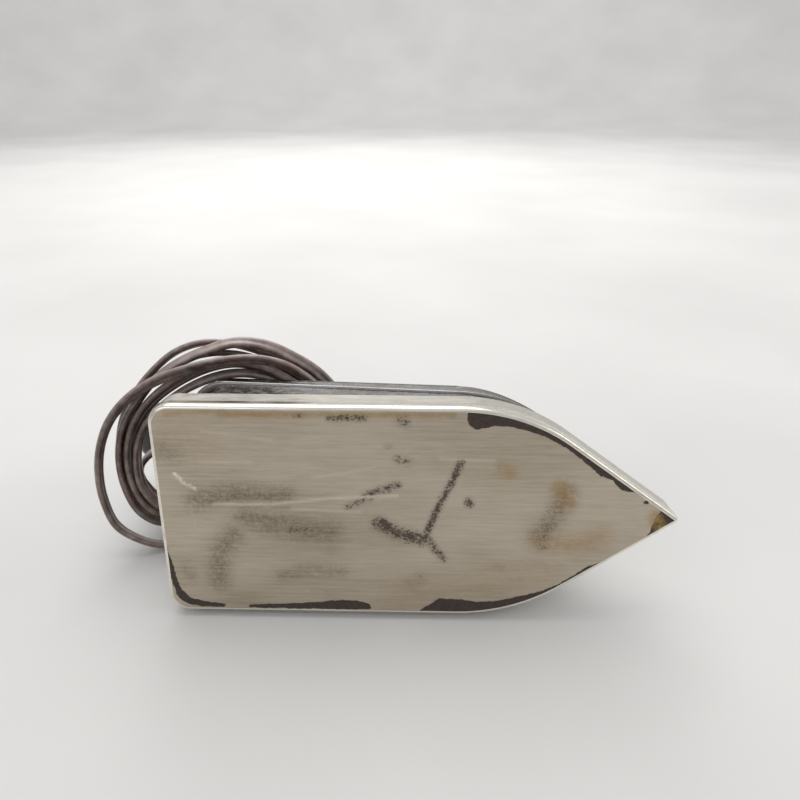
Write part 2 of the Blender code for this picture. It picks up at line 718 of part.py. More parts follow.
def make_handle(iron):
    handle = add("handle", loft("handle", grip_rings()), "bakelite", iron)
    boolean(handle, add_cutter("rear_post", loft("rear_post", post_rings()), iron), "UNION")
    seat = loft("hood_seat", hood_rings(GAP, hood_lines()))
    boolean(handle, add_cutter("hood_seat", seat, iron))
    for end, x in HANDLE_SCREWS:
        radius = HANDLE_SCREW_RADIUS + HOLE_CLEARANCE
        depth = screw_top(x) + GAP - SOLE_THICKNESS
        drill(handle, f"handle_hole_{end}", radius, x, SOLE_THICKNESS, depth)
    channel_length = SLEEVE_Z - BOARD_TOP
    drill(handle, "handle_channel_down", CORD_CHANNEL_RADIUS, CORD_CHANNEL_X, BOARD_TOP, channel_length)
    channel = rod("handle_channel_out", CORD_CHANNEL_RADIUS, CORD_CHANNEL_X + HEEL_REACH)
    bend = (CORD_CHANNEL_X, 0, SLEEVE_Z)
    cutter = add_cutter("handle_channel_out", channel, iron, bend, (0, -math.pi / 2, 0))
    boolean(handle, cutter)
    ball = bmesh.new()
    bmesh.ops.create_uvsphere(ball, u_segments=16, v_segments=12, radius=CORD_CHANNEL_RADIUS * 1.02)
    elbow = mesh_from(ball, "handle_channel_elbow")
    boolean(handle, add_cutter("handle_channel_elbow", elbow, iron, (CORD_CHANNEL_X, 0, SLEEVE_Z)))


def screw_top(x):
    return deck_height(x) + 0.6 * HANDLE_SCREW_LENGTH


def make_handle_screws(iron):
    """Screws from inside the hood up into the handle's feet, each with its head under the hood's wall."""
    for end, x in HANDLE_SCREWS:
        name = f"handle_screw_{end}"
        under = deck_height(x + 2 * HANDLE_SCREW_RADIUS) - HOOD_WALL * 1.3 - GAP
        head_height = HANDLE_SCREW_RADIUS
        shank_mesh = rod(name, HANDLE_SCREW_RADIUS, screw_top(x) - under)
        shank = add(name, shank_mesh, "bright_steel", iron, (x, 0, under))
        wide = 2 * HANDLE_SCREW_RADIUS
        head = rod(name + "_head", wide, head_height + 0.5 * GAP, top_radius=0.95 * wide)
        boolean(shank, add_cutter(name + "_head", head, iron, (x, 0, under - head_height)), "UNION")


# ---- Heat control ---------------------------------------------------------------------------------
def deck_frame(iron):
    """An empty on the hood's deck at the dial, with its Z square to the deck."""
    known = bpy.data.objects.get("dial_axis")
    if known:
        return known
    return new_empty("dial_axis", iron, (DIAL_X, 0, deck_height(DIAL_X)), (0, deck_slope(), 0))


def deck_slope():
    step = 0.001
    return math.atan((deck_height(DIAL_X - step) - deck_height(DIAL_X + step)) / (2 * step))


def make_dial(iron):
    axis = deck_frame(iron)
    plate = rod("dial_plate", DIAL_PLATE_RADIUS, DIAL_PLATE_THICKNESS, sides=40)
    dial_plate = add("dial_plate", plate, "aluminium", axis, (0, 0, GAP))
    hole = rod("dial_plate_hole", DIAL_SHAFT_RADIUS + HOLE_CLEARANCE, 0.006)
    boolean(dial_plate, add_cutter("dial_plate_hole", hole, axis, (0, 0, -0.003)))
    bottom = GAP + DIAL_PLATE_THICKNESS + GAP
    profile = (
        (0, DIAL_HEIGHT),
        (0.55 * DIAL_RADIUS, DIAL_HEIGHT),
        (0.80 * DIAL_RADIUS, 0.93 * DIAL_HEIGHT),
        (0.92 * DIAL_RADIUS, 0.72 * DIAL_HEIGHT),
        (DIAL_RADIUS, 0.20 * DIAL_HEIGHT),
        (DIAL_RADIUS, 0),
        (0, 0),
    )
    dial = add("heat_dial", turned("heat_dial", profile), "bakelite", axis, (0, 0, bottom))
    screw_round(dial)
    bore = rod("dial_bore", DIAL_SHAFT_RADIUS + HOLE_CLEARANCE, 0.6 * DIAL_HEIGHT + 0.001)
    boolean(dial, add_cutter("dial_bore", bore, axis, (0, 0, bottom - 0.001)))
    ridge = block("dial_ridge", 1.7 * DIAL_RADIUS, 0.0035, 0.0022)
    boolean(dial, add_cutter("dial_ridge", ridge, axis, (0, 0, bottom + DIAL_HEIGHT - 0.0006)), "UNION")
    foot = LEAF_TOP + 2 * GAP - deck_height(DIAL_X)
    shaft = rod("dial_shaft", DIAL_SHAFT_RADIUS, bottom + 0.6 * DIAL_HEIGHT - GAP - foot)
    add("dial_shaft", shaft, "bright_steel", axis, (0, 0, foot))


CONTROL_TOP = BOARD_TOP + GAP + CONTROL_HEIGHT
STRIP_Z = CONTROL_TOP + GAP
LEAF_Z = STRIP_Z + STRIP_THICKNESS + GAP
LEAF_TOP = LEAF_Z + LEAF_THICKNESS


def make_control(iron):
    """The bimetal strip and the contact leaf lie on a porcelain block, under one rivet at the heel end."""
    rivet_x = DIAL_X - 0.4 * CONTROL_LENGTH
    rivet_radius = 0.0016
    rows = (
        ("control_block", CONTROL_LENGTH, CONTROL_WIDTH, BOARD_TOP + GAP, CONTROL_HEIGHT, "porcelain"),
        ("bimetal_strip", 0.92 * CONTROL_LENGTH, 0.6 * CONTROL_WIDTH, STRIP_Z, STRIP_THICKNESS, "brass"),
        ("contact_leaf", 0.84 * CONTROL_LENGTH, 0.42 * CONTROL_WIDTH, LEAF_Z, LEAF_THICKNESS, "brass"),
    )
    heel = DIAL_X - CONTROL_LENGTH / 2
    for name, length, width, bottom, height, kind in rows:
        middle = heel + length / 2 + 0.0005
        piece = add(name, block(name, length, width, height), kind, iron, (middle, 0, bottom))
        radius = rivet_radius + HOLE_CLEARANCE
        drill(piece, name + "_hole", radius, rivet_x, bottom - 0.001, height + 0.002)
    rivet_bottom = BOARD_TOP + GAP
    rivet = rod("control_rivet", rivet_radius, LEAF_TOP + GAP + 0.0004 - rivet_bottom)
    piece = add("control_rivet", rivet, "bright_steel", iron, (rivet_x, 0, rivet_bottom))
    head = rod("control_rivet_head", 1.6 * rivet_radius, 0.0009, top_radius=1.1 * rivet_radius)
    boolean(piece, add_cutter("control_rivet_head", head, iron, (rivet_x, 0, LEAF_TOP + GAP)), "UNION")


# ---- Terminals and leads --------------------------------------------------------------------------
TERMINAL_TOP = BOARD_TOP + GAP + TERMINAL_HEIGHT


def make_terminals(iron):
    body = block("terminal_block", TERMINAL_LENGTH, TERMINAL_WIDTH, TERMINAL_HEIGHT)
    terminal = add("terminal_block", body, "porcelain", iron, (TERMINAL_X, 0, BOARD_TOP + GAP))
    round_edges(terminal, 0.0008, segments=1)
    depth = 0.7 * TERMINAL_HEIGHT
    for wire, side in (("live", 1), ("neutral", -1)):
        y = side * TERMINAL_SPACING / 2
        hole = TERMINAL_SCREW_RADIUS + HOLE_CLEARANCE
        drill(terminal, f"terminal_hole_{wire}", hole, TERMINAL_X, TERMINAL_TOP - depth, 2 * depth, y)
        name = f"terminal_screw_{wire}"
        bottom = TERMINAL_TOP - depth + GAP
        shank = rod(name, TERMINAL_SCREW_RADIUS, TERMINAL_TOP + GAP + 0.0004 - bottom)
        screw = add(name, shank, "brass", iron, (TERMINAL_X, y, bottom))
        head = rod(name + "_head", 1.7 * TERMINAL_SCREW_RADIUS, 0.0014)
        head_place = (TERMINAL_X, y, TERMINAL_TOP + GAP)
        boolean(screw, add_cutter(name + "_head", head, iron, head_place), "UNION")


def make_leads(iron):
    """Bare leads from the terminal screws forward to the heat control and to the ribbon's end."""
    z = TERMINAL_TOP + GAP + LEAD_RADIUS
    start = TERMINAL_X + 1.7 * TERMINAL_SCREW_RADIUS + GAP
    side = TERMINAL_SPACING / 2
    low = BOARD_TOP + GAP + LEAD_RADIUS
    control_heel = DIAL_X - CONTROL_LENGTH / 2
    past_block = TERMINAL_X + TERMINAL_LENGTH / 2 + 0.003
    clamp = WASHER_RADIUS + 0.006
    live = (
        (start, side, z),
        (past_block, side + 0.001, z - 0.001),
        (STUD_REAR_X, clamp, low + 0.001),
        (0.5 * (STUD_REAR_X + control_heel), clamp - 0.003, low),
        (control_heel - GAP, 0.3 * CONTROL_WIDTH, low),
    )
    neutral = (
        (start, -side, z),
        (past_block, -side - 0.001, z - 0.001),
        (STUD_REAR_X, -clamp - 0.002, low + 0.001),
        (DIAL_X, -CONTROL_WIDTH / 2 - 0.004, low),
        (STUD_FRONT_X - 0.012, -CONTROL_WIDTH / 2 - 0.003, low),
    )
    for name, route in (("lead_live", live), ("lead_neutral", neutral)):
        add(name, tube_curve(name, smooth_route(route, 0.004), LEAD_RADIUS), "brass", iron)


# ---- Flex -----------------------------------------------------------------------------------------
CORD_NAMES = (
    "cord_lead",
    "cord_coil",
    "cord_end",
    "plug_base",
    "plug_cover",
    "plug_pin_left",
    "plug_pin_right",
    "plug_screw",
)


def sleeve_start():
    """The rear face of the post at the sleeve's height."""
    return REAR_POST_X - REAR_POST_HALF_DEPTH - GAP


def make_sleeve(iron):
    start = sleeve_start()
    body = rod("cord_sleeve", SLEEVE_ROOT_RADIUS, SLEEVE_LENGTH, top_radius=SLEEVE_TIP_RADIUS)
    sleeve = add("cord_sleeve", body, "rubber", iron, (start, 0, SLEEVE_Z), (0, -math.pi / 2, 0))
    bore = rod("sleeve_bore", FLEX_RADIUS + GAP, SLEEVE_LENGTH + 0.002)
    along = (0, -math.pi / 2, 0)
    boolean(sleeve, add_cutter("sleeve_bore", bore, iron, (start + 0.001, 0, SLEEVE_Z), along))
    mouth = start - SLEEVE_LENGTH
    x, z = CORD_CHANNEL_X, SLEEVE_Z
    bend = 0.0045
    route = (
        (mouth + 0.0005, 0, z),
        (mouth + 0.5 * SLEEVE_LENGTH, 0, z),
        (x - 1.6 * bend, 0, z),
        (x - 0.45 * bend, 0, z - 0.25 * bend),
        (x, 0, z - 1.3 * bend),
        (x, 0, deck_height(x)),
        (x, 0, TERMINAL_TOP + 0.0035),
    )
    flex = tube_curve("cord_inner", smooth_route(route, 0.003), FLEX_RADIUS)
    add("cord_inner", flex, "brown_flex", iron)


def make_flex(iron):
    lead = smooth_route(LEAD_ROUTE, FLEX_RADIUS)
    add("cord_lead", tube_curve("cord_lead", lead, FLEX_RADIUS), "brown_flex", iron)
    ring = smooth_route(COIL_LINE, COIL_RADIUS, closed=True)
    add("cord_coil", tube_curve("cord_coil", ring, COIL_RADIUS, closed=True), "brown_flex", iron)
    end = smooth_route(END_ROUTE, 5 * FLEX_RADIUS)
    add("cord_end", tube_curve("cord_end", end, FLEX_RADIUS), "brown_flex", iron)


def floor_y(z):
    """The table, in the iron's frame: the y of the surface that it lies on, at height z."""
    return SOLE_HALF_WIDTH - (z - SOLE_THICKNESS) * math.tan(rest_tilt())


def make_plug(iron):
    """Two round pins in a bakelite base, with a tapered cover that the flex enters. It lies flat."""
    x, z = PLUG_MOUTH
    lie = math.pi / 2 + rest_tilt()
    y = floor_y(z) - PLUG_HALF_HEIGHT / math.cos(rest_tilt())
    plug = new_empty("plug_place", iron, (x, y, z), (lie, 0, 0))
    cover_end = PLUG_COVER_LENGTH
    stations = (
        (0.0, 0.30, 0.50),
        (0.0015, 0.36, 0.56),
        (0.40 * cover_end, 0.62, 0.80),
        (0.75 * cover_end, 0.94, 0.97),
        (cover_end, 1.0, 1.0),
    )
    base_stations = ((0.0, 1.0, 1.0), (0.8 * PLUG_BASE_LENGTH, 1.0, 1.0), (PLUG_BASE_LENGTH, 0.92, 0.88))

    def rings(rows, start):
        return [
            [(start + at, a, b) for a, b in oval(PLUG_HALF_WIDTH * wide, PLUG_HALF_HEIGHT * high, 3)]
            for at, wide, high in rows
        ]

    cover = add("plug_cover", loft("plug_cover", rings(stations, 0)), "bakelite", plug)
    face = cover_end + GAP
    base = add("plug_base", loft("plug_base", rings(base_stations, face)), "bakelite", plug)
    along = (0, math.pi / 2, 0)
    pin_start = face + PLUG_BASE_LENGTH - PLUG_PIN_SEAT
    for side, across in (("left", 0.5), ("right", -0.5)):
        name = f"plug_pin_{side}"
        place = (pin_start, across * PLUG_PIN_SPACING, 0)
        hole = rod(name + "_hole", PLUG_PIN_RADIUS + HOLE_CLEARANCE, 2 * PLUG_PIN_SEAT)
        boolean(base, add_cutter(name + "_hole", hole, plug, (place[0] - GAP, place[1], 0), along))
        shape = rod(name, PLUG_PIN_RADIUS, PLUG_PIN_SEAT + PLUG_PIN_LENGTH)
        pin = add(name, shape, "brass", plug, place, along)
        round_edges(pin, 0.0006, segments=2)
    screw_seat = 0.5 * PLUG_BASE_LENGTH
    hole = rod("plug_screw_hole", PLUG_SCREW_RADIUS + HOLE_CLEARANCE, screw_seat + 0.02)
    start = face + PLUG_BASE_LENGTH - screw_seat
    boolean(base, add_cutter("plug_screw_hole", hole, plug, (start - GAP, 0, 0), along))
    screw = rod("plug_screw", PLUG_SCREW_RADIUS, screw_seat - GAP)
    add("plug_screw", screw, "brass", plug, (start, 0, 0), along)


def main():
    for old in list(bpy.data.objects):
        bpy.data.objects.remove(old)
    bpy.context.scene.collection.children.link(parts)
    bpy.context.scene.collection.children.link(cutters)
    iron = new_empty("iron_place", turn=(-math.pi / 2 - rest_tilt(), 0, 0))
    make_soleplate(iron)
    make_heating_stack(iron)
    make_studs(iron)
    make_hood(iron)
    make_handle(iron)
    make_handle_screws(iron)
    make_dial(iron)
    make_control(iron)
    make_terminals(iron)
    make_leads(iron)
    make_sleeve(iron)
    make_flex(iron)
    make_plug(iron)
    stand_on_table(iron, CORD_NAMES)


main()
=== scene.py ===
"""An antique electric flat iron that lies on its left side, with its flex coiled behind the heel.

Every piece is shaped in the iron's own frame, in metres: +X to the nose, +Y to its left side and +Z up from
the ironing face, with x = 0 at the plate's heel edge. iron_place() then lays it down as the frame has it.
"""

import json
import math

import bmesh
import bpy
import numpy as np
from mathutils import Matrix, Vector, geometry, noise


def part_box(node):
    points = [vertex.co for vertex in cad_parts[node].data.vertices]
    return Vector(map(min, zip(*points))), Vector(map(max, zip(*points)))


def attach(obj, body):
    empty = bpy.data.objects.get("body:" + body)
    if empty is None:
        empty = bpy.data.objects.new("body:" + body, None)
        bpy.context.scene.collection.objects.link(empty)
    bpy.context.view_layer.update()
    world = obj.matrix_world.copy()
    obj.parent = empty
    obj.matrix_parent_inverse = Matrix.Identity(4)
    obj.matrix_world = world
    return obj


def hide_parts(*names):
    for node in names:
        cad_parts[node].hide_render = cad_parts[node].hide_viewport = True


bl_info = {
    "name": "Antique Flat Iron",
    "version": (1, 0, 0),
    "blender": (4, 5, 0),
    "location": "View3D > Sidebar > Flat Iron",
    "description": "Builds the pieces of an antique electric flat iron round its packed frame",
    "category": "Add Mesh",
}

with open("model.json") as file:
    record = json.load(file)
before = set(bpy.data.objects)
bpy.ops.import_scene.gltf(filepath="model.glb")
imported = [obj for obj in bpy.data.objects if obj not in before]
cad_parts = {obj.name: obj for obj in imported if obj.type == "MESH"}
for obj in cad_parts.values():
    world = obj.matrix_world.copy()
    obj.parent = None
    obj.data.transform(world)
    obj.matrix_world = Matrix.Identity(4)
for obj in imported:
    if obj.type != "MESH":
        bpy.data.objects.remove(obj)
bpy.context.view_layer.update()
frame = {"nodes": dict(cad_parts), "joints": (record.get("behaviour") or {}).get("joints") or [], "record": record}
MM = 0.001
GAP = 0.0003

# ---- Soleplate ------------------------------------------------------------------------------------
SOLE_LENGTH = 0.200
SOLE_HALF_WIDTH = 0.0444
SOLE_THICKNESS = 0.015
SHOULDER_X = 0.1383
SHOULDER_RADIUS = 0.0706
HEEL_CORNER_RADIUS = 0.0082
TIP_RADIUS = 0.0018
STUDS_X = (0.118, 0.041)

# ---- Hood -----------------------------------------------------------------------------------------
HOOD_WALL = 0.0012
HOOD_INSET = 0.0026
HOOD_CORNER_RADIUS = 0.017
HOOD_TIP_RADIUS = 0.004
HOOD_HEEL_RISE = 0.0325
HOOD_FALL = 0.083
HOOD_NOSE_START = 0.116
HOOD_NOSE_END = 0.192
HOOD_NOSE_KEEP = 0.13
SHOULDER_INSET = 0.0042
DOME_WIDTH = 0.020       # from the shoulder to the flat of the deck
DOME_RISE = 0.0055
HOOD_RIM_Z = SOLE_THICKNESS + GAP

# ---- Handle ---------------------------------------------------------------------------------------
HANDLE_HALF_WIDTH = 0.0135
GRIP_HALF_HEIGHT = 0.012
GRIP_Z = 0.094
HEEL_REACH = 0.040
HEEL_Z = 0.086
REAR_POST_X = 0.021
REAR_POST_HALF_DEPTH = 0.012
FRONT_FOOT_X = 0.143
FOOT_SINK = 0.006
FOOT_FLARE_HEIGHT = 0.022

# ---- Nuts, sleeve and plug ------------------------------------------------------------------------
NUT_RADIUS = 0.0052
NUT_HEIGHT = 0.0045
WASHER_RADIUS = 0.0058
WASHER_THICKNESS = 0.001
SLEEVE_Z = 0.0625
SLEEVE_START_X = REAR_POST_X - REAR_POST_HALF_DEPTH - GAP
SLEEVE_LENGTH = 0.030
SLEEVE_ROOT_RADIUS = 0.0062
SLEEVE_TIP_RADIUS = 0.0042
PLUG_MOUTH = (0.066, 0.127)

# ---- Flex: the middle line of its coil, and the stretch from the coil to the plug -----------------
LEAD_ROUTE = (
    (-0.0212, 0.0000, 0.0625),
    (-0.0262, -0.0003, 0.0623),
    (-0.0310, 0.0008, 0.0603),
    (-0.0342, 0.0040, 0.0568),
    (-0.0350, 0.0090, 0.0532),
    (-0.0336, 0.0150, 0.0505),
)
BEND_REACH = 4  # points to each side, 5 mm, over which a bend is measured
COIL_LINE = (
    (-0.035, -0.004, 0.043),
    (-0.032, 0.016, 0.0415),
    (-0.021, 0.0293, 0.0435),
    (-0.006, 0.0293, 0.0545),
    (0.011, 0.0275, 0.0605),
    (0.032, 0.0235, 0.0605),
    (0.051, 0.0120, 0.0600),
    (0.061, -0.008, 0.0595),
    (0.057, -0.029, 0.0590),
    (0.040, -0.0440, 0.0570),
    (0.016, -0.0500, 0.0535),
    (-0.009, -0.0440, 0.0490),
    (-0.027, -0.0270, 0.0450),
)
END_ROUTE = (
    (0.0100, 0.0292, 0.0640),
    (0.0165, 0.0302, 0.0715),
    (0.0205, 0.0315, 0.0800),
    (0.0222, 0.0322, 0.0890),
    (0.0245, 0.0310, 0.0990),
    (0.0305, 0.0293, 0.1090),
    (0.0395, 0.0266, 0.1180),
    (0.0485, 0.0228, 0.1240),
    (0.0570, 0.0203, 0.1265),
    (0.0657, 0.0197, 0.1270),
)
COIL_START = 0.12        # turns, where the lead joins the coil
COIL_END = 7.21          # and where the end leaves it
COIL_SAMPLES = 120       # for each turn
# How far each turn lies out from the coil's middle line at these shares of a turn, in millimetres, after
# how far it lies towards the sole. It changes places with the next turn behind the hood.
TURN_STATIONS = (0.66, 0.70, 0.74, 0.78, 0.82, 0.86, 0.90, 0.94, 0.98, 1.02, 1.08, 1.14)
TURN_PLACES = (
    (-5.0, (-5.0, -5.0, -5.0, -5.0, -5.0, -5.0, -5.0, -5.0, -5.0, -5.0, -5.5, -6.0)),
    (-4.6, (-7.0, -6.0, -6.6, -8.0, -9.4, -9.0, -7.7, -6.6, -6.3, -7.2, -8.0, -7.0)),
    (0.4, (-8.0, -8.8, -10.0, -11.2, -12.4, -12.0, -10.4, -9.2, -8.8, -9.5, -9.0, -8.0)),
    (0.8, (-5.4, -3.6, -5.2, -5.9, -6.3, -6.0, -5.3, -4.8, -4.7, -5.5, -6.0, -5.0)),
    (5.4, (1.5, -1.0, -2.5, -3.5, -2.5, 0.0, 2.5, 4.8, 5.6, 5.6, 7.6, 10.0)),
    (0.6, (4.3, 6.8, 3.5, 0.5, -0.2, -1.2, -1.1, -0.9, -1.5, -2.4, -2.6, -1.0)),
    (-4.8, (-4.0, -3.0, -1.5, -1.0, -1.0, -2.2, -2.6, -2.4, -3.2, -4.4, -5.0, -4.0)),
    (-4.6, (0.0, 0.5, 3.0, 5.5, 3.4, 1.0, 0.5, 0.6, -0.3, -1.5, -2.0, -1.0)),
)
# Where a turn's flat side turns to the sole: the turn and the angle in degrees.
TURN_TWISTS = (
    (0.0, 10), (0.7, -18), (0.95, 12), (1.3, 30), (1.75, -15), (2.05, 22), (2.5, -40), (2.8, 28), (3.1, -12),
    (3.5, 20), (3.68, 58), (3.84, 64), (3.95, 18), (4.15, -14), (4.6, -70), (4.74, -30), (5.0, 15), (5.4, 60),
    (5.72, 22), (6.0, -20), (6.4, 10), (6.7, 34), (6.86, 14), (7.0, -10), (7.3, 0),
)

# ---- Wear on the ironing face, in millimetres from the heel and above the middle as the iron lies --
CHIPS = (
    (
        (118, 47), (117, 41), (118, 37.5), (121, 36), (127, 37.5), (133, 37.5), (139, 36), (145, 34),
        (151, 31), (157, 27), (162, 23), (167, 18.5), (172, 16.5), (176, 12.5), (181, 11.5), (187, 9.5),
        (192, 14), (170, 32), (145, 50),
    ),
    ((192.5, 6), (190, 1.5), (188.5, -5), (183, -13), (181, -15), (186, -20), (206, 0)),
    (
        (101, -42.5), (105, -39.5), (109, -36.5), (118, -37), (124, -38), (131, -37.5), (137, -36),
        (144, -34), (150, -32), (155, -29.5), (159, -26.5), (163, -23.5), (166, -21), (171, -19),
        (177, -20), (165, -32), (145, -46), (101, -47),
    ),
    (
        (32, -41),
        (41, -40.5),
        (51, -40),
        (62, -39),
        (69, -38.2),
        (76, -38.2),
        (81, -40),
        (82, -42.6),
        (32, -42.6),
    ),
    (
        (1.2, -13), (2, -18), (3, -22), (4.2, -30), (5.5, -34.5), (8.5, -38), (13, -39.6), (18, -40.2),
        (23, -41), (22, -42.4), (13, -42.4), (7, -41.2), (3.4, -38), (1.6, -29), (1.2, -21),
    ),
    ((184.5, 8.4), (186.5, 8.4), (186.5, 6.6), (184.5, 6.6)),
)
BURNS = (                # strokes of scorched spots: points, radius and strength
    (((115.5, 23), (112, 14), (107, 3), (103, -8)), 2.3, 1.0),
    (((103, -8), (106, -13), (110, -18)), 2.8, 0.9),
    (((85, -3), (92, -7), (101, -10)), 4.4, 1.0),
    (((86, -2), (89, -4)), 2.6, 1.05),
    (((73, 4), (82, 8)), 2.6, 0.78),
    (((80, 9), (92, 13.5)), 2.8, 0.86),
    (((92, 24), (96, 23)), 3.4, 0.72),
    (((88, 29), (89, 29)), 1.8, 0.72),
    (((93, 39), (95, 38.5)), 3.0, 0.85),
    (((67, 40), (80, 40)), 2.0, 0.9),
    (((55, 41), (58, 41)), 1.8, 0.7),
    (((119, 7), (119.3, 6)), 2.6, 1.05),
    (((101, -27), (98, -29)), 6.0, 0.50),
    (((131, -21), (133, -22)), 3.0, 0.5),
    (((150, -2), (148, -12)), 4.2, 0.62),
    (((52, -6), (57, -7)), 3.4, 0.70),
    (((28, 8), (33, 9)), 3.0, 0.55),
)
STAINS = (               # soft grey-brown marks
    (((15, 6), (30, 9), (49, 8)), 5.0, 0.62),
    (((34, -1), (52, -6), (66, -7)), 5.5, 0.60),
    (((50, -5), (56, -6)), 3.5, 0.55),
    (((28, -9), (22, -18), (21, -30)), 4.8, 0.62),
    (((46, -27), (58, -24), (70, -25)), 3.4, 0.42),
    (((5, 27), (8, 25)), 4.0, 0.40),
    (((155, 10), (152, 2), (146, -8)), 4.6, 0.62),
    (((8, -24), (10, -28)), 3.0, 0.30),
)
TARNISH = (              # ochre
    (((153, 13), (156, 7)), 4.2, 0.75),
    (((148, -10), (160, -11), (170, -8)), 5.5, 0.55),
    (((190, 1), (193, -4)), 3.2, 0.95),
    (((131, 21), (134, 19)), 3.4, 0.60),
    (((27, 41.2), (60, 41.2), (112, 41.8)), 1.5, 0.75),
    (((90, -34), (118, -31), (150, -24)), 9.0, 0.26),
    (((7, 40.5), (16, 42), (28, 42)), 1.3, 0.60),
    (((10, 36), (20, 30)), 12.0, 0.22),
)
SCUFFS = (               # rubbed bright
    (((8, 17), (11, 13.5), (15.5, 10.5)), 1.5, 1.0),
    (((13, 4), (13.5, -4)), 1.3, 0.65),
    (((55, -34), (64, -35)), 1.2, 0.6),
)
SCRATCHES = (
    (((22, 4.5), (45, 4.8), (66, 7.5), (92, 9)), 0.30, 0.8),
    (((52, 3), (66, 2.2), (78, 2.0)), 0.28, 0.6),
    (((18, 22), (38, 22)), 0.28, 0.5),
    (((20, 34.5), (46, 31)), 0.25, 0.4),
    (((108, 24.5), (128, 24)), 0.30, 0.6),
    (((60, 16), (72, 18), (84, 21)), 0.25, 0.4),
)


# ---- The iron's frame -----------------------------------------------------------------------------
def iron_place():
    """From the iron's own frame to the lying iron's, out of its ironing face and its heel edge."""
    face = next(mount for mount in frame["record"]["mounts"] if mount["name"] == "sole_face")
    up = -Vector(face["axis"])
    forward = Vector((1, 0, 0))
    place = Matrix((forward, up.cross(forward), up)).transposed().to_4x4()
    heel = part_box("soleplate")[0].x
    place.translation = Vector(face["pos_m"]) + forward * (heel - face["pos_m"][0])
    return place


PLACE = iron_place()
LEAN = math.atan2(-PLACE.col[2].z, PLACE.col[2].y)


def table_y(z):
    """The table that the iron lies on, at height z over the ironing face."""
    return SOLE_HALF_WIDTH - (z - SOLE_THICKNESS) * math.tan(LEAN)


def turning_place(joint_name):
    """A frame on the named joint, with its Z along the axis and its X towards the nose."""
    joint = next(joint for joint in frame["joints"] if joint["name"] == joint_name)
    axis = Vector(joint["axis"]).normalized()
    side = axis.cross(Vector((1, 0, 0))).normalized()
    place = Matrix((side.cross(axis), side, axis)).transposed().to_4x4()
    place.translation = Vector(joint["pos_m"])
    return place


# ---- Outlines and heights -------------------------------------------------------------------------
def plate_corners(inset):
    """The five corners of the plate's outline, moved in by inset, from the tip to the left side."""
    nose = math.atan2(SOLE_HALF_WIDTH, SOLE_LENGTH - SHOULDER_X)
    tip = SOLE_LENGTH - inset / math.sin(nose)
    half = SOLE_HALF_WIDTH - inset
    shoulder = tip - half / math.tan(nose)
    return [(tip, 0), (shoulder, half), (inset, half), (inset, -half), (shoulder, -half)]


def filleted(corners, radii, steps):
    """The outline through corners, each rounded to its radius in its number of steps."""
    outline = []
    for i, corner in enumerate(corners):
        corner = Vector(corner)
        to_last = (Vector(corners[i - 1]) - corner).normalized()
        to_next = (Vector(corners[(i + 1) % len(corners)]) - corner).normalized()
        half_angle = to_last.angle(to_next) / 2
        middle = corner + (to_last + to_next).normalized() * (radii[i] / math.sin(half_angle))
        first = corner + to_last * (radii[i] / math.tan(half_angle)) - middle
        turn = math.pi - 2 * half_angle
        turn = turn if to_last.cross(to_next) < 0 else -turn
        for step in range(steps[i] + 1):
            outline.append(middle + Matrix.Rotation(turn * step / steps[i], 2) @ first)
    return outline


def with_straights(outline, spacing, tip_steps):
    """The outline with its long straight stretches cut up, starting beside the tip."""
    full = []
    for i, point in enumerate(outline):
        after = outline[(i + 1) % len(outline)]
        pieces = max(1, round((after - point).length / spacing))
        full += [point.lerp(after, step / pieces) for step in range(pieces)]
    half = tip_steps // 2 + 1
    return full[half:] + full[:half]


def plate_outline(inset, corner_radius, tip_radius, spacing=None):
    """Counter-clockwise from above, with two points beside the tip, so that it mirrors about its middle."""
    shoulder = max(SHOULDER_RADIUS - inset, 0.02)
    steps = (9, 26, 14, 14, 26)
    radii = (tip_radius, shoulder, corner_radius, corner_radius, shoulder)
    outline = filleted(plate_corners(inset), radii, steps)
    if spacing:
        return with_straights(outline, spacing, steps[0])
    return outline[5:] + outline[:5]


def hood_rise(x):
    """Rim to shoulder at x: a gentle fall forward, then a drop to the nose."""
    t = min(max((x - HOOD_NOSE_START) / (HOOD_NOSE_END - HOOD_NOSE_START), 0), 1)
    return (HOOD_HEEL_RISE - HOOD_FALL * x) * (1 - (1 - HOOD_NOSE_KEEP) * t * t * (3 - 2 * t))


def hood_height(share, dome=0.0):
    return lambda x: HOOD_RIM_Z + share * hood_rise(x) + dome * DOME_RISE * hood_rise(x) / HOOD_HEEL_RISE


def bead_height(above):
    """The bead falls faster than the shoulder."""
    return lambda x: HOOD_RIM_Z + (0.78 - 2.1 * x + above / HOOD_HEEL_RISE) * hood_rise(x)


deck_height = hood_height(1, 1)


def hood_lines(bead_depth):
    """The lines round the hood from rim to deck: inset, corner radius and height."""
    corner = HOOD_CORNER_RADIUS
    lines = [
        (HOOD_INSET, corner, hood_height(0)),
        (HOOD_INSET + 0.0003, corner, hood_height(0.10)),
        (HOOD_INSET + 0.0006, corner, bead_height(-0.0018)),
    ]
    for step in range(9):
        angle = math.pi * step / 8
        proud = bead_depth * math.sin(angle)
        lines.append((HOOD_INSET + 0.0006 - proud, corner, bead_height(-0.0014 - 0.0010 * math.cos(angle))))
    lines.append((HOOD_INSET + 0.0008, corner, bead_height(0.0004)))
    lines.append((HOOD_INSET + 0.0012, corner, hood_height(0.90)))
    lines.append((SHOULDER_INSET - 0.0006, corner, hood_height(0.965)))
    for step in range(13):
        angle = 0.5 * math.pi * step / 12
        across = (1 - math.cos(angle)) ** 1.2
        radius = corner * (1 - 0.55 * across)
        lines.append((SHOULDER_INSET + DOME_WIDTH * across, radius, hood_height(1, math.sin(angle))))
    return lines


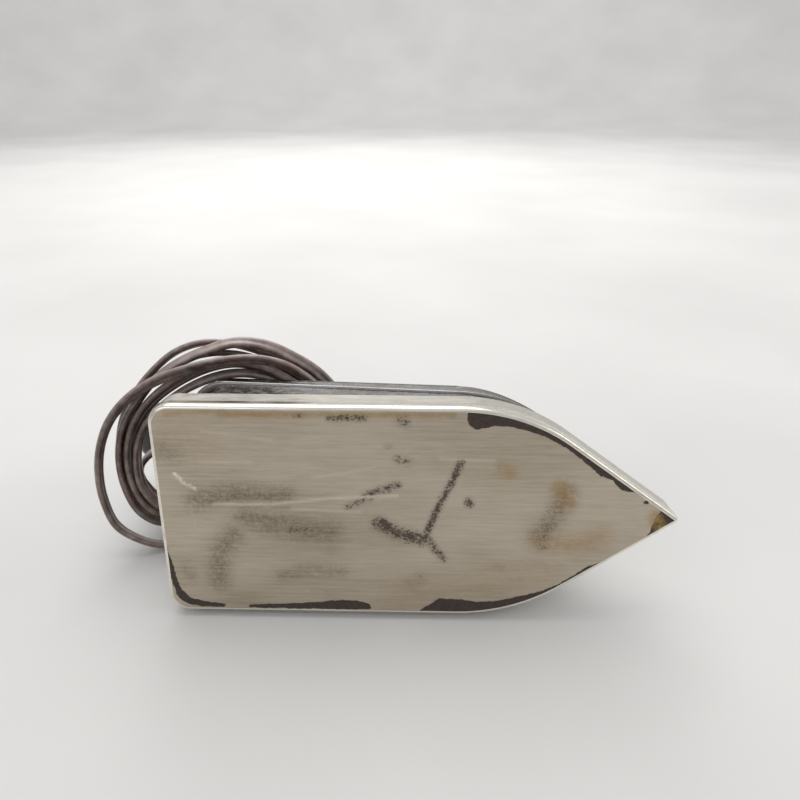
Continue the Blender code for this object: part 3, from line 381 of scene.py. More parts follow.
def oval(half_width, half_height, squareness, count=48):
    """A rounded rectangle as a superellipse, mirrored about its middle, as (across, up) pairs."""
    shape = []
    for i in range(count):
        angle = 2 * math.pi * (i + 0.5) / count
        c, s = math.cos(angle), math.sin(angle)
        power = 2 / squareness
        shape.append(
            (
                half_width * math.copysign(abs(s) ** power, s),
                half_height * math.copysign(abs(c) ** power, c),
            )
        )
    return shape


def smooth_route(points, spacing, closed=False):
    """Points about spacing apart on a smooth curve through the given points."""
    knots = [Vector(point) for point in points]
    count = len(knots)
    route = []
    for i in range(count if closed else count - 1):
        if closed:
            before, start, end, after = (knots[(i + k) % count] for k in (-1, 0, 1, 2))
        else:
            before, start, end, after = (knots[min(max(i + k, 0), count - 1)] for k in (-1, 0, 1, 2))
        steps = max(1, round((end - start).length / spacing))
        for step in range(steps):
            t = step / steps
            route.append(
                0.5 * (
                    2 * start
                    + (end - before) * t
                    + (2 * before - 5 * start + 4 * end - after) * t * t
                    + (3 * start - before - 3 * end + after) * t ** 3
                )
            )
    if not closed:
        route.append(knots[-1])
    return route


# ---- Meshes ---------------------------------------------------------------------------------------
def finished(name, work, place=PLACE, body="iron", material=None, smooth_angle=40):
    """An object from a working mesh, put in place and riding on its body."""
    mesh = bpy.data.meshes.new(name)
    work.to_mesh(mesh)
    work.free()
    return finished_mesh(name, mesh, place, body, material, smooth_angle)


def finished_mesh(name, mesh, place, body, material, smooth_angle=40):
    if place is not None:
        mesh.transform(place)
    mesh.shade_smooth()
    mesh.set_sharp_from_angle(angle=math.radians(smooth_angle))
    if material is not None:
        mesh.materials.clear()
        mesh.materials.append(material)
    piece = bpy.data.objects.new(name, mesh)
    bpy.context.scene.collection.objects.link(piece)
    if body:
        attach(piece, body)
    return piece


def add_rings(work, rings, cap_first=True, cap_last=True):
    """Joins rings of equal count in order. An end's cap joins each point to its mirror across the ring."""
    rows = [[work.verts.new(point) for point in ring] for ring in rings]
    count = len(rows[0])
    for lower, upper in zip(rows, rows[1:]):
        for i in range(count):
            j = (i + 1) % count
            work.faces.new((lower[i], lower[j], upper[j], upper[i]))
    for row, wanted in ((rows[0], cap_first), (rows[-1], cap_last)):
        if wanted:
            for i in range(count // 2 - 1):
                a, b = i, count - 1 - i
                corners = (row[a], row[a + 1], row[b - 1], row[b])
                work.faces.new(corners if b - 1 > a + 1 else corners[:3])
    return rows


def loft(rings):
    work = bmesh.new()
    add_rings(work, rings)
    bmesh.ops.recalc_face_normals(work, faces=work.faces)
    return work


def turned(profile, steps=48):
    """A closed turned shape from (radius, height) pairs that start and end on the axis."""
    work = bmesh.new()
    points = [work.verts.new((radius, 0, height)) for radius, height in profile]
    edges = [work.edges.new(pair) for pair in zip(points, points[1:])]
    bmesh.ops.spin(
        work,
        geom=points + edges,
        angle=2 * math.pi,
        steps=steps,
        axis=(0, 0, 1),
        cent=(0, 0, 0),
        use_merge=True,
    )
    bmesh.ops.remove_doubles(work, verts=work.verts, dist=1e-6)
    bmesh.ops.dissolve_degenerate(work, edges=work.edges, dist=1e-7)
    bmesh.ops.recalc_face_normals(work, faces=work.faces)
    return work


def applied(piece):
    """The object's mesh with its modifiers worked out, and the object removed."""
    graph = bpy.context.evaluated_depsgraph_get()
    graph.update()
    mesh = bpy.data.meshes.new_from_object(piece.evaluated_get(graph))
    bpy.data.objects.remove(piece)
    return mesh


def helper(name, work):
    """A working object in the iron's frame, to be cut, joined or removed."""
    mesh = bpy.data.meshes.new(name)
    work.to_mesh(mesh)
    work.free()
    piece = bpy.data.objects.new(name, mesh)
    bpy.context.scene.collection.objects.link(piece)
    return piece


def boolean(piece, other, operation="DIFFERENCE"):
    modifier = piece.modifiers.new(operation, "BOOLEAN")
    modifier.operation = operation
    modifier.solver = "EXACT"
    modifier.object = other


# ---- Materials ------------------------------------------------------------------------------------
RANGE = "ShaderNodeMapRange"
MIX = "ShaderNodeMix"
MATH = "ShaderNodeMath"
BUMP = "ShaderNodeBump"


def srgb(code):
    """Linear colour with alpha from an sRGB hex code."""
    values = [int(code[i:i + 2], 16) / 255 for i in (1, 3, 5)]
    linear = [v / 12.92 if v <= 0.04045 else ((v + 0.055) / 1.055) ** 2.4 for v in values]
    return (*linear, 1.0)


def add_node(tree, kind, inputs=(), **settings):
    """A node with its settings. Its inputs are given by name, or in the order of those in use.

    An input may be a value, another node's output, or another node, whose first output in use is linked.
    """
    node = tree.nodes.new(kind)
    for name, value in settings.items():
        setattr(node, name, value)
    if isinstance(inputs, dict):
        pairs = [(node.inputs[key], value) for key, value in inputs.items()]
    else:
        pairs = zip([socket for socket in node.inputs if socket.enabled], inputs)
    for socket, value in pairs:
        if isinstance(value, bpy.types.Node):
            value = next(output for output in value.outputs if output.enabled)
        if isinstance(value, bpy.types.NodeSocket):
            tree.links.new(value, socket)
        else:
            socket.default_value = value
    return node


def new_material(name, **fixed):
    """A material with only its shader, whose even values are set on the shader itself."""
    material = bpy.data.materials.new(name)
    material.use_nodes = True
    tree = material.node_tree
    tree.nodes.clear()
    shader = add_node(tree, "ShaderNodeBsdfPrincipled", fixed)
    output = add_node(tree, "ShaderNodeOutputMaterial", {"Surface": shader.outputs[0]})
    output.location = (300, 0)
    return material, tree, shader


def pattern(tree, size, detail=4.0, rough=0.55, stretch=(1, 1, 1), seed=0.0, distortion=0.0):
    """Object coordinates through a Mapping node into noise whose features are about size metres across."""
    place = add_node(tree, "ShaderNodeTexCoord").outputs["Object"]
    scaled = add_node(
        tree, "ShaderNodeMapping", {"Vector": place, "Scale": stretch, "Location": (seed, seed, 0)}
    )
    return add_node(
        tree,
        "ShaderNodeTexNoise",
        {
            "Vector": scaled.outputs[0],
            "Scale": 1 / size,
            "Detail": detail,
            "Roughness": rough,
            "Distortion": distortion,
        },
    ).outputs["Fac"]


def link_into(tree, node, shader, name):
    """Links a node's first output in use to the shader's input of that name."""
    tree.links.new(next(output for output in node.outputs if output.enabled), shader.inputs[name])


def worn_sole_material(colours):
    """Nickel plate on steel, worn by cloth: brushed lengthways, scorched, and chipped at its edges."""
    material, tree, shader = new_material(
        "worn_nickel_plate", **{"Metallic": 0.85, "Specular IOR Level": 0.5}
    )
    # Rubbing marks run the length of the plate. Real ones are about 0.1 mm apart and would not show, so
    # these are drawn at 1.1 mm and 0.5 mm.
    rubbed = pattern(tree, 0.0011, 5.0, 0.72, (0.035, 1, 1))
    fine = pattern(tree, 0.0005, 3.0, 0.7, (0.06, 1, 1), 0.3)
    cloudy = pattern(tree, 0.022, 3.0, 0.5, (0.5, 1, 1), 0.7)
    speckle = pattern(tree, 0.00085, 3.0, 0.8, (0.75, 1, 1), 1.3)
    ragged = pattern(tree, 0.0022, 5.0, 0.65, (1, 1, 1), 2.1)
    marks = {
        name: add_node(tree, "ShaderNodeAttribute", attribute_name=name).outputs["Fac"]
        for name in ("chip", "burn", "stain", "tarnish", "scuff", "scratch")
    }
    colour = add_node(
        tree,
        MIX,
        (add_node(tree, RANGE, (cloudy, 0.35, 0.65)), colours["sole"], colours["sole_shade"]),
        data_type="RGBA",
    )
    colour = add_node(
        tree,
        MIX,
        (add_node(tree, RANGE, (rubbed, 0.40, 0.66, 0.0, 0.42)), colour, colours["sole_light"]),
        data_type="RGBA",
    )
    colour = add_node(
        tree,
        MIX,
        (add_node(tree, RANGE, (fine, 0.50, 0.72, 0.0, 0.30)), colour, srgb("#8C8071")),
        data_type="RGBA",
    )
    blotches = add_node(tree, MATH, (ragged, 0.35), operation="MULTIPLY")
    flecks = add_node(
        tree, MATH, (add_node(tree, MATH, (speckle, 0.65), operation="MULTIPLY"), blotches), operation="ADD"
    )
    streaks = add_node(tree, RANGE, (rubbed, 0.3, 0.66, 1.2, 0.7))
    clouded = add_node(
        tree, MATH, (add_node(tree, RANGE, (flecks, 0.38, 0.60, 0.35, 1.5)), streaks), operation="MULTIPLY"
    )
    patchy = add_node(tree, MATH, (marks["stain"], clouded), operation="MULTIPLY")
    colour = add_node(
        tree,
        MIX,
        (add_node(tree, RANGE, (patchy, 0.0, 0.8, 0.0, 0.75)), colour, srgb("#6E6353")),
        data_type="RGBA",
    )
    warm = add_node(
        tree,
        MATH,
        (marks["tarnish"], add_node(tree, RANGE, (ragged, 0.3, 0.65, 0.45, 1.1))),
        operation="MULTIPLY",
    )
    colour = add_node(
        tree,
        MIX,
        (add_node(tree, RANGE, (warm, 0.05, 0.9, 0.0, 0.75)), colour, srgb("#A07A42")),
        data_type="RGBA",
    )
    spots = add_node(
        tree,
        MATH,
        (add_node(tree, MATH, (marks["burn"], 0.36), operation="MULTIPLY"), flecks),
        operation="ADD",
    )
    burnt = add_node(tree, RANGE, (spots, 0.74, 0.86))
    colour = add_node(
        tree,
        MIX,
        (add_node(tree, MATH, (burnt, 0.88), operation="MULTIPLY"), colour, colours["scorch"]),
        data_type="RGBA",
    )
    haze = add_node(tree, RANGE, (marks["burn"], 0.25, 1.1, 0.0, 0.34))
    colour = add_node(tree, MIX, (haze, colour, srgb("#5A4C42")), data_type="RGBA")
    rubbed_spots = add_node(
        tree,
        MATH,
        (add_node(tree, MATH, (marks["scuff"], 0.30), operation="MULTIPLY"), flecks),
        operation="ADD",
    )
    colour = add_node(
        tree,
        MIX,
        (add_node(tree, RANGE, (rubbed_spots, 0.70, 0.84, 0.0, 0.8)), colour, srgb("#F0E9DE")),
        data_type="RGBA",
    )
    fine_line = add_node(
        tree,
        MATH,
        (marks["scratch"], add_node(tree, RANGE, (fine, 0.35, 0.6, 0.25, 0.8))),
        operation="MULTIPLY",
    )
    colour = add_node(tree, MIX, (fine_line, colour, srgb("#E4DCCF")), data_type="RGBA")
    edge = add_node(
        tree, MATH, (marks["chip"], add_node(tree, RANGE, (ragged, 0.25, 0.75, -0.45, 0.45))), operation="ADD"
    )
    chipped = add_node(tree, RANGE, (edge, -0.12, 0.16))
    bare = add_node(
        tree,
        MIX,
        (add_node(tree, RANGE, (speckle, 0.40, 0.75)), colours["bare_iron"], srgb("#54473F")),
        data_type="RGBA",
    )
    bare = add_node(
        tree,
        MIX,
        (add_node(tree, RANGE, (warm, 0.3, 0.9, 0.0, 0.9)), bare, srgb("#A88B52")),
        data_type="RGBA",
    )
    colour = add_node(tree, MIX, (chipped, colour, bare), data_type="RGBA")
    link_into(tree, colour, shader, "Base Color")
    dull = add_node(
        tree, MATH, (chipped, add_node(tree, MATH, (burnt, 0.8), operation="MULTIPLY")), operation="MAXIMUM"
    )
    polish = add_node(tree, RANGE, (rubbed, 0.3, 0.7, 0.30, 0.46))
    rough = add_node(tree, MIX, (dull, polish, 0.72), data_type="FLOAT")
    link_into(tree, rough, shader, "Roughness")
    link_into(tree, add_node(tree, RANGE, (dull, 0.0, 1.0, 0.85, 0.25)), shader, "Metallic")
    grain = add_node(tree, BUMP, {"Height": rubbed, "Distance": 0.00003, "Strength": 0.6})
    link_into(
        tree,
        add_node(
            tree,
            BUMP,
            {
                "Height": add_node(tree, MATH, (chipped, -1.0), operation="MULTIPLY"),
                "Distance": 0.00012,
                "Strength": 0.8,
                "Normal": grain,
            },
        ),
        shader,
        "Normal",
    )
    return material


def plate_side_material(polished):
    """The plate's side: a ground and polished strip next to the face, and duller machining above it."""
    name = "polished_plate_edge" if polished else "ground_plate_side"
    material, tree, shader = new_material(name, **{"Metallic": 1.0})
    lines = pattern(tree, 0.0009, 4.0, 0.65, (0.05, 1, 1))
    grime = pattern(tree, 0.006, 4.0, 0.6, (0.6, 1, 1), 0.9)
    light, dark = ("#EFEBE0", "#DED9CC") if polished else ("#D6D3CA", "#B5B1A7")
    colour = add_node(
        tree, MIX, (add_node(tree, RANGE, (lines, 0.35, 0.68)), srgb(light), srgb(dark)), data_type="RGBA"
    )
    colour = add_node(
        tree,
        MIX,
        (add_node(tree, RANGE, (grime, 0.58, 0.78, 0.0, 0.35)), colour, srgb("#8A7E68")),
        data_type="RGBA",
    )
    link_into(tree, colour, shader, "Base Color")
    low, high = (0.16, 0.30) if polished else (0.34, 0.52)
    link_into(tree, add_node(tree, RANGE, (grime, 0.3, 0.7, low, high)), shader, "Roughness")
    link_into(
        tree, add_node(tree, BUMP, {"Height": lines, "Distance": 0.00002, "Strength": 0.5}), shader, "Normal"
    )
    return material


def hood_material(colours):
    """Nickel-plated pressed steel, darker all over than clean nickel as a painted dark reflection, dulled by heat
    in patches, with wiping scratches and grime above the rim.
    """
    material, tree, shader = new_material("aged_nickel_hood", **{"Metallic": 1.0})
    wiping = pattern(tree, 0.0007, 4.0, 0.75, (0.06, 1, 1), 0.2, 0.3)
    cross = pattern(tree, 0.0008, 4.0, 0.7, (1, 0.12, 1), 1.7, 0.6)
    heat = pattern(tree, 0.030, 3.0, 0.5, (1, 1, 1), 0.5)
    grime = pattern(tree, 0.004, 6.0, 0.65, (1, 1, 1), 3.1)
    # The hood colour is set dark as a painted reflection of dark surroundings; the heat patches mixed in here are
    # the plating's own.
    colour = add_node(
        tree,
        MIX,
        (add_node(tree, RANGE, (heat, 0.35, 0.68)), colours["hood"], srgb("#7C7672")),
        data_type="RGBA",
    )
    colour = add_node(
        tree,
        MIX,
        (add_node(tree, RANGE, (wiping, 0.60, 0.72, 0.0, 0.35)), colour, srgb("#BDBCBA")),
        data_type="RGBA",
    )
    colour = add_node(
        tree,
        MIX,
        (add_node(tree, RANGE, (cross, 0.62, 0.74, 0.0, 0.25)), colour, srgb("#A9A8A5")),
        data_type="RGBA",
    )
    colour = add_node(
        tree,
        MIX,
        (add_node(tree, RANGE, (grime, 0.60, 0.76, 0.0, 0.45)), colour, srgb("#4E4843")),
        data_type="RGBA",
    )
    link_into(tree, colour, shader, "Base Color")
    rough = add_node(
        tree,
        MATH,
        (
            add_node(tree, RANGE, (grime, 0.4, 0.75, 0.17, 0.40)),
            add_node(tree, RANGE, (wiping, 0.5, 0.7, 0.0, 0.10)),
        ),
        operation="ADD",
    )
    link_into(tree, rough, shader, "Roughness")
    grain = add_node(tree, BUMP, {"Height": wiping, "Distance": 0.00002, "Strength": 0.35})
    link_into(
        tree,
        add_node(tree, BUMP, {"Height": grime, "Distance": 0.00004, "Strength": 0.3, "Normal": grain}),
        shader,
        "Normal",
    )
    return material


def bakelite_material(colours):
    """Compression-moulded phenolic: near black and polished, with hazed patches, fine scratches and dust."""
    fixed = {"Metallic": 0.0, "IOR": 1.6, "Coat Weight": 0.25, "Coat Roughness": 0.12}
    material, tree, shader = new_material("black_bakelite", **fixed)
    haze = pattern(tree, 0.012, 4.0, 0.6, (1, 1, 1), 0.4)
    hairs = pattern(tree, 0.0007, 3.0, 0.75, (0.08, 1, 1), 0.8, 0.4)
    dust = pattern(tree, 0.0009, 2.0, 0.6, (1, 1, 1), 2.7)
    colour = add_node(
        tree,
        MIX,
        (add_node(tree, RANGE, (haze, 0.35, 0.70)), colours["bakelite"], srgb("#2B2522")),
        data_type="RGBA",
    )
    colour = add_node(
        tree,
        MIX,
        (add_node(tree, RANGE, (hairs, 0.62, 0.74, 0.0, 0.25)), colour, srgb("#5A5450")),
        data_type="RGBA",
    )
    colour = add_node(
        tree,
        MIX,
        (add_node(tree, RANGE, (dust, 0.68, 0.76, 0.0, 0.30)), colour, srgb("#857C74")),
        data_type="RGBA",
    )
    link_into(tree, colour, shader, "Base Color")
    rough = add_node(
        tree,
        MATH,
        (
            add_node(tree, RANGE, (haze, 0.3, 0.7, 0.14, 0.34)),
            add_node(tree, RANGE, (hairs, 0.55, 0.75, 0.0, 0.12)),
        ),
        operation="ADD",
    )
    link_into(tree, rough, shader, "Roughness")
    link_into(
        tree, add_node(tree, BUMP, {"Height": hairs, "Distance": 0.000015, "Strength": 0.3}), shader, "Normal"
    )
    return material


def flex_material(colours):
    """Brown PVC twin flex: smooth and slightly shiny, with a pale bloom in patches all over, and a painted
    highlight that lightens its upward-facing sides.
    """
    fixed = {"Metallic": 0.0, "IOR": 1.52, "Coat Weight": 1.0, "Coat Roughness": 0.28}
    material, tree, shader = new_material("brown_twin_flex", **fixed)
    tone = pattern(tree, 0.016, 3.0, 0.55, (1, 1, 1), 0.6)
    bloom = pattern(tree, 0.0045, 5.0, 0.65, (1, 1, 1), 1.4)
    grain = pattern(tree, 0.0006, 3.0, 0.7, (1, 1, 1), 2.2)
    colour = add_node(
        tree,
        MIX,
        (add_node(tree, RANGE, (tone, 0.35, 0.65)), colours["flex"], colours["flex_shade"]),
        data_type="RGBA",
    )
    colour = add_node(
        tree,
        MIX,
        (add_node(tree, RANGE, (bloom, 0.46, 0.72, 0.0, 0.40)), colour, colours["flex_bloom"]),
        data_type="RGBA",
    )
    # Painted highlight: the sides that face up are mixed towards the pale bloom colour, standing in for light
    # falling on the flex's tops.
    upper = add_node(tree, "ShaderNodeAttribute", attribute_name="upper").outputs["Fac"]
    painted_top_highlight = add_node(
        tree, MATH, (upper, add_node(tree, RANGE, (bloom, 0.30, 0.60, 0.55, 1.0))), operation="MULTIPLY"
    )
    colour = add_node(
        tree,
        MIX,
        (add_node(tree, RANGE, (painted_top_highlight, 0.10, 1.0, 0.0, 0.75)), colour, colours["flex_bloom"]),
        data_type="RGBA",
    )
    colour = add_node(
        tree,
        MIX,
        (add_node(tree, RANGE, (grain, 0.62, 0.75, 0.0, 0.3)), colour, srgb("#2E211D")),
        data_type="RGBA",
    )
    link_into(tree, colour, shader, "Base Color")
    link_into(tree, add_node(tree, RANGE, (bloom, 0.35, 0.7, 0.28, 0.46)), shader, "Roughness")
    link_into(
        tree, add_node(tree, BUMP, {"Height": grain, "Distance": 0.00003, "Strength": 0.4}), shader, "Normal"
    )
    return material


def rubber_material():
    """Perished black rubber: dull, with pale bloom and fine crazing."""
    material, tree, shader = new_material("perished_rubber", **{"Metallic": 0.0, "IOR": 1.52})
    bloom = pattern(tree, 0.005, 5.0, 0.65, (1, 1, 1), 0.3)
    cracks = add_node(
        tree,
        "ShaderNodeTexVoronoi",
        {"Vector": add_node(tree, "ShaderNodeTexCoord").outputs["Object"], "Scale": 900.0},
        feature="DISTANCE_TO_EDGE",
    ).outputs["Distance"]
    colour = add_node(
        tree,
        MIX,
        (add_node(tree, RANGE, (bloom, 0.4, 0.7)), srgb("#2A2624"), srgb("#5B524C")),
        data_type="RGBA",
    )
    link_into(tree, colour, shader, "Base Color")
    link_into(tree, add_node(tree, RANGE, (bloom, 0.3, 0.7, 0.55, 0.8)), shader, "Roughness")
    link_into(
        tree,
        add_node(
            tree,
            BUMP,
            {"Height": add_node(tree, RANGE, (cracks, 0.0, 0.12)), "Distance": 0.00005, "Strength": 0.4},
        ),
        shader,
        "Normal",
    )
    return material


def metal_material(name, light, dark, rough_low, rough_high, stretch=(1, 1, 1), stain="#6B5B48"):
    """A bare or plated metal whose tool marks run along the stretched axis, with dull spots of tarnish."""
    material, tree, shader = new_material(name, **{"Metallic": 1.0})
    marks = pattern(tree, 0.0006, 4.0, 0.7, stretch, 0.5)
    spots = pattern(tree, 0.0028, 5.0, 0.6, (1, 1, 1), 1.9)
    colour = add_node(
        tree, MIX, (add_node(tree, RANGE, (marks, 0.35, 0.68)), srgb(light), srgb(dark)), data_type="RGBA"
    )
    colour = add_node(
        tree,
        MIX,
        (add_node(tree, RANGE, (spots, 0.58, 0.74, 0.0, 0.6)), colour, srgb(stain)),
        data_type="RGBA",
    )
    link_into(tree, colour, shader, "Base Color")
    link_into(tree, add_node(tree, RANGE, (spots, 0.35, 0.75, rough_low, rough_high)), shader, "Roughness")
    link_into(
        tree, add_node(tree, BUMP, {"Height": marks, "Distance": 0.00002, "Strength": 0.4}), shader, "Normal"
    )
    return material


def mineral_material(name, light, dark, rough, grain_size, sheen=0.0, stretch=(1, 1, 1)):
    """Pressed, fired or glazed mineral stock with its grain and a soft change of tone."""
    material, tree, shader = new_material(name, **{"Metallic": 0.0, "Roughness": rough, "Coat Weight": sheen})
    grain = pattern(tree, grain_size, 5.0, 0.7, stretch, 0.8)
    tone = pattern(tree, 0.012, 3.0, 0.5, (1, 1, 1), 2.5)
    colour = add_node(
        tree, MIX, (add_node(tree, RANGE, (grain, 0.38, 0.66)), srgb(light), srgb(dark)), data_type="RGBA"
    )
    colour = add_node(
        tree,
        MIX,
        (add_node(tree, RANGE, (tone, 0.5, 0.75, 0.0, 0.4)), colour, srgb("#7C6A50")),
        data_type="RGBA",
    )
    link_into(tree, colour, shader, "Base Color")
    link_into(
        tree, add_node(tree, BUMP, {"Height": grain, "Distance": 0.00004, "Strength": 0.3}), shader, "Normal"
    )
    return material


def floor_material(code):
    """A plain pale studio floor with a very faint unevenness."""
    material, tree, shader = new_material("pale_floor", **{"Metallic": 0.0, "Roughness": 0.75})
    tone = pattern(tree, 0.25, 3.0, 0.5)
    colour = add_node(
        tree, MIX, (add_node(tree, RANGE, (tone, 0.3, 0.7)), srgb(code), srgb("#D9D8D6")), data_type="RGBA"
    )
    link_into(tree, colour, shader, "Base Color")
    return material


# ---- Settings -------------------------------------------------------------------------------------
def colour_property(name, code, about):
    return bpy.props.FloatVectorProperty(
        name=name, description=about, default=srgb(code), size=4, min=0, max=1, subtype="COLOR"
    )


def length_property(name, default, about):
    return bpy.props.FloatProperty(
        name=name, description=about, default=default, min=0, precision=5, subtype="DISTANCE", unit="LENGTH"
    )


class FlatIronColours(bpy.types.PropertyGroup):
    sole: colour_property("Sole", "#BCB1A0", "Worn plating of the ironing face")
    sole_shade: colour_property("Sole shade", "#A99D8B", "Its duller patches")
    sole_light: colour_property("Sole light", "#D2C9BA", "Its rubbed lines")
    scorch: colour_property("Scorch", "#3B2B27", "Burnt-on spots")
    bare_iron: colour_property("Bare iron", "#3E3430", "Where the plating has chipped off")
    # Darker than clean nickel: a painted dark reflection of the surroundings, besides the plating's own ageing.
    hood: colour_property("Hood", "#8C8B8A", "Aged nickel plating")
    bakelite: colour_property("Handle", "#15120F", "Moulded handle, dial and plug")
    flex: colour_property("Flex", "#654D44", "Brown twin flex")
    flex_shade: colour_property("Flex shade", "#3C2C27", "Its darker stretches")
    # Pale colour of the flex's random bloom, also used for the painted highlight on its upward-facing sides.
    flex_bloom: colour_property("Flex bloom", "#B3A29B", "Its greyish bloom")


class FlatIronSizes(bpy.types.PropertyGroup):
    edge_round: length_property("Edge rounding", 0.0016, "Rounding of the ironing face's edge")
    polished_strip: length_property(
        "Polished strip", 0.0055, "Height of the polished strip on the plate's side"
    )
    face_step: length_property("Face mesh step", 0.0008, "Spacing of the ironing face's mesh")
    bead_depth: length_property("Hood bead", 0.0009, "How far the hood's bead stands out")
    dial_flutes: bpy.props.IntProperty(
        name="Dial flutes", description="Flutes round the dial", default=28, min=3
    )
    scale_ticks: bpy.props.IntProperty(
        name="Scale ticks", description="Ticks on the dial's plate", default=19, min=2
    )
    flex_width: length_property("Flex width", 0.0054, "Across both cores of the flex")
    flex_thickness: length_property("Flex thickness", 0.0028, "Across one core of the flex")
    sleeve_ribs: bpy.props.IntProperty(
        name="Sleeve ribs", description="Ribs on the rubber sleeve", default=9, min=1
    )
    ground_level: length_property("Table", 0.0, "Height of the floor")


def sizes():
    return bpy.context.scene.flat_iron_sizes


def colours():
    """The chosen colours by name."""
    group = bpy.context.scene.flat_iron_colours
    return {name: tuple(getattr(group, name)) for name in FlatIronColours.__annotations__}


# ---- Ironing plate --------------------------------------------------------------------------------
def stroke_distance(points, stroke):
    """How far each point lies from a line of points."""
    nearest = np.full(len(points), 1e9)
    for start, end in zip(stroke, stroke[1:]):
        a, along = np.array(start, float), np.subtract(end, start)
        t = np.clip(((points - a) @ along) / (along @ along), 0, 1)
        nearest = np.minimum(nearest, np.linalg.norm(points - a - t[:, None] * along, axis=1))
    return nearest


def inside(points, outline):
    """Which points lie inside a closed outline."""
    found = np.zeros(len(points), bool)
    for (x0, y0), (x1, y1) in zip(outline, outline[1:] + outline[:1]):
        crosses = (points[:, 1] < y0) != (points[:, 1] < y1)
        at = x0 + (points[:, 1] - y0) / ((y1 - y0) or 1e-9) * (x1 - x0)
        found ^= crosses & (points[:, 0] < at)
    return found


def wear_marks(points):
    """Each kind of wear at each point, from the lists above. A chip is a distance in mm, positive inside."""
    chip = np.full(len(points), -20.0)
    for outline in CHIPS:
        closed = [*outline, outline[0]]
        distance = stroke_distance(points, closed)
        chip = np.maximum(chip, np.where(inside(points, list(outline)), distance, -distance))
    marks = {"chip": chip}
    for name, strokes in (("burn", BURNS), ("stain", STAINS), ("tarnish", TARNISH), ("scuff", SCUFFS)):
        field = np.zeros(len(points))
        for stroke, radius, strength in strokes:
            field = np.maximum(field, strength * np.exp(-((stroke_distance(points, stroke) / radius) ** 2)))
        marks[name] = field
    field = np.zeros(len(points))
    for stroke, radius, strength in SCRATCHES:
        field = np.maximum(field, strength * np.exp(-((stroke_distance(points, stroke) / (2 * radius)) ** 2)))
    marks["scratch"] = field
    return marks


def make_plate(context):
    size = sizes()
    spacing = 1.2 * size.face_step
    edge, strip = size.edge_round, size.polished_strip
    work = bmesh.new()
    levels = []
    for step in range(7):
        angle = 0.5 * math.pi * step / 6
        levels.append((edge * (1 - math.sin(angle)), edge * (1 - math.cos(angle))))
    levels += [(0, strip - 0.0002), (0.00022, strip), (0.00022, SOLE_THICKNESS - 0.0008)]
    levels += [(0.0007, SOLE_THICKNESS - 0.00015), (0.0012, SOLE_THICKNESS)]
    outline = plate_outline(0, HEEL_CORNER_RADIUS, max(TIP_RADIUS, 0.0006), spacing)
    base = [(point.x, point.y, 0) for point in outline]
    rows = []
    for inset, z in levels:
        # Every level is the outer outline moved straight in, so that all rings have equal counts.
        ring = []
        for i, point in enumerate(base):
            before, after = Vector(base[i - 1]), Vector(base[(i + 1) % len(base)])
            along = (after - before).normalized()
            ring.append(Vector(point) + Vector((-along.y, along.x, 0)) * inset + Vector((0, 0, z)))
        rows.append([work.verts.new(point) for point in ring])
    count = len(base)
    for level, (lower, upper) in enumerate(zip(rows, rows[1:])):
        for i in range(count):
            j = (i + 1) % count
            face = work.faces.new((lower[i], lower[j], upper[j], upper[i]))
            face.material_index = 1 if levels[level][1] < strip else 2
    work.faces.new(rows[-1]).material_index = 2
    fill_face(work, rows[0], size.face_step)
    bmesh.ops.recalc_face_normals(work, faces=work.faces)
    points = np.array([(v.co.x, -v.co.y) for v in work.verts]) / MM
    face_level = np.array([v.co.z < 1e-6 for v in work.verts])
    marks = wear_marks(points)
    for vert, chip, on_face in zip(work.verts, marks["chip"], face_level):
        if on_face:
            ragged = 0.9 * noise.noise(Vector((vert.co.x, vert.co.y, 0)) / 0.002)
            depth = min(max(chip + ragged, 0) / 0.8, 1)
            vert.co.z += 0.00012 * depth + 0.00003 * noise.noise(vert.co / 0.015)
    plate = finished("ironing_plate", work, smooth_angle=50)
    own = colours()
    plate.data.materials.append(worn_sole_material(own))
    plate.data.materials.append(plate_side_material(True))
    plate.data.materials.append(plate_side_material(False))
    for name, values in marks.items():
        plate.data.attributes.new(name, "FLOAT", "POINT").data.foreach_set("value", values.astype(np.float32))
    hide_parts("soleplate")


def fill_face(work, rim, step):
    """The flat ironing face inside its rim, as an even mesh that can hold its wear."""
    places = [(v.co.x, v.co.y) for v in rim]
    xs = np.arange(step, SOLE_LENGTH, step)
    ys = np.arange(-SOLE_HALF_WIDTH, SOLE_HALF_WIDTH, step)
    grid = np.array([(x, y + 0.5 * step * (i % 2)) for i, x in enumerate(xs) for y in ys])
    near = stroke_distance(grid, [*places, places[0]])
    grid = grid[inside(grid, places) & (near > 0.6 * step)]
    known = [*rim, *(work.verts.new((x, y, 0)) for x, y in grid)]
    # The outline's straight sides are bowed out a little while it is meshed, so that no triangle is a sliver.
    centre = Vector((0.45 * SOLE_LENGTH, 0))
    bowed = []
    for vert in known:
        out = vert.co.xy - centre
        bowed.append(out * (1 - 2 * out.length_squared) / MM)
    made = geometry.delaunay_2d_cdt(bowed, [], [list(range(len(rim)))], 1, 1e-7, True)
    first = [min(sources) for sources in made[3]]
    for corners in made[2]:
        a, b, c = (known[first[corner]] for corner in corners)
        longest = max((a.co - b.co).length, (b.co - c.co).length, (c.co - a.co).length)
        if geometry.area_tri(a.co, b.co, c.co) > 0.004 * longest * longest:
            work.faces.new((a, b, c)).material_index = 0


# ---- Hood -----------------------------------------------------------------------------------------
def hood_rings(grow, lines):
    rings = []
    for i, (inset, corner, height) in enumerate(lines):
        outline = plate_outline(inset - grow, corner, HOOD_TIP_RADIUS)
        lift = grow if i else 0
        rings.append([(p.x, p.y, height(p.x) + lift) for p in outline])
    return rings


def make_hood(context):
    lines = hood_lines(sizes().bead_depth)
    outer = hood_rings(0, lines)
    plain = [lines[0], *(line for line in lines[-14:])]
    inner = hood_rings(-HOOD_WALL, plain)
    hood = finished("hood_shell", loft([*reversed(inner), *outer]), material=hood_material(colours()))
    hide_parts("hood")


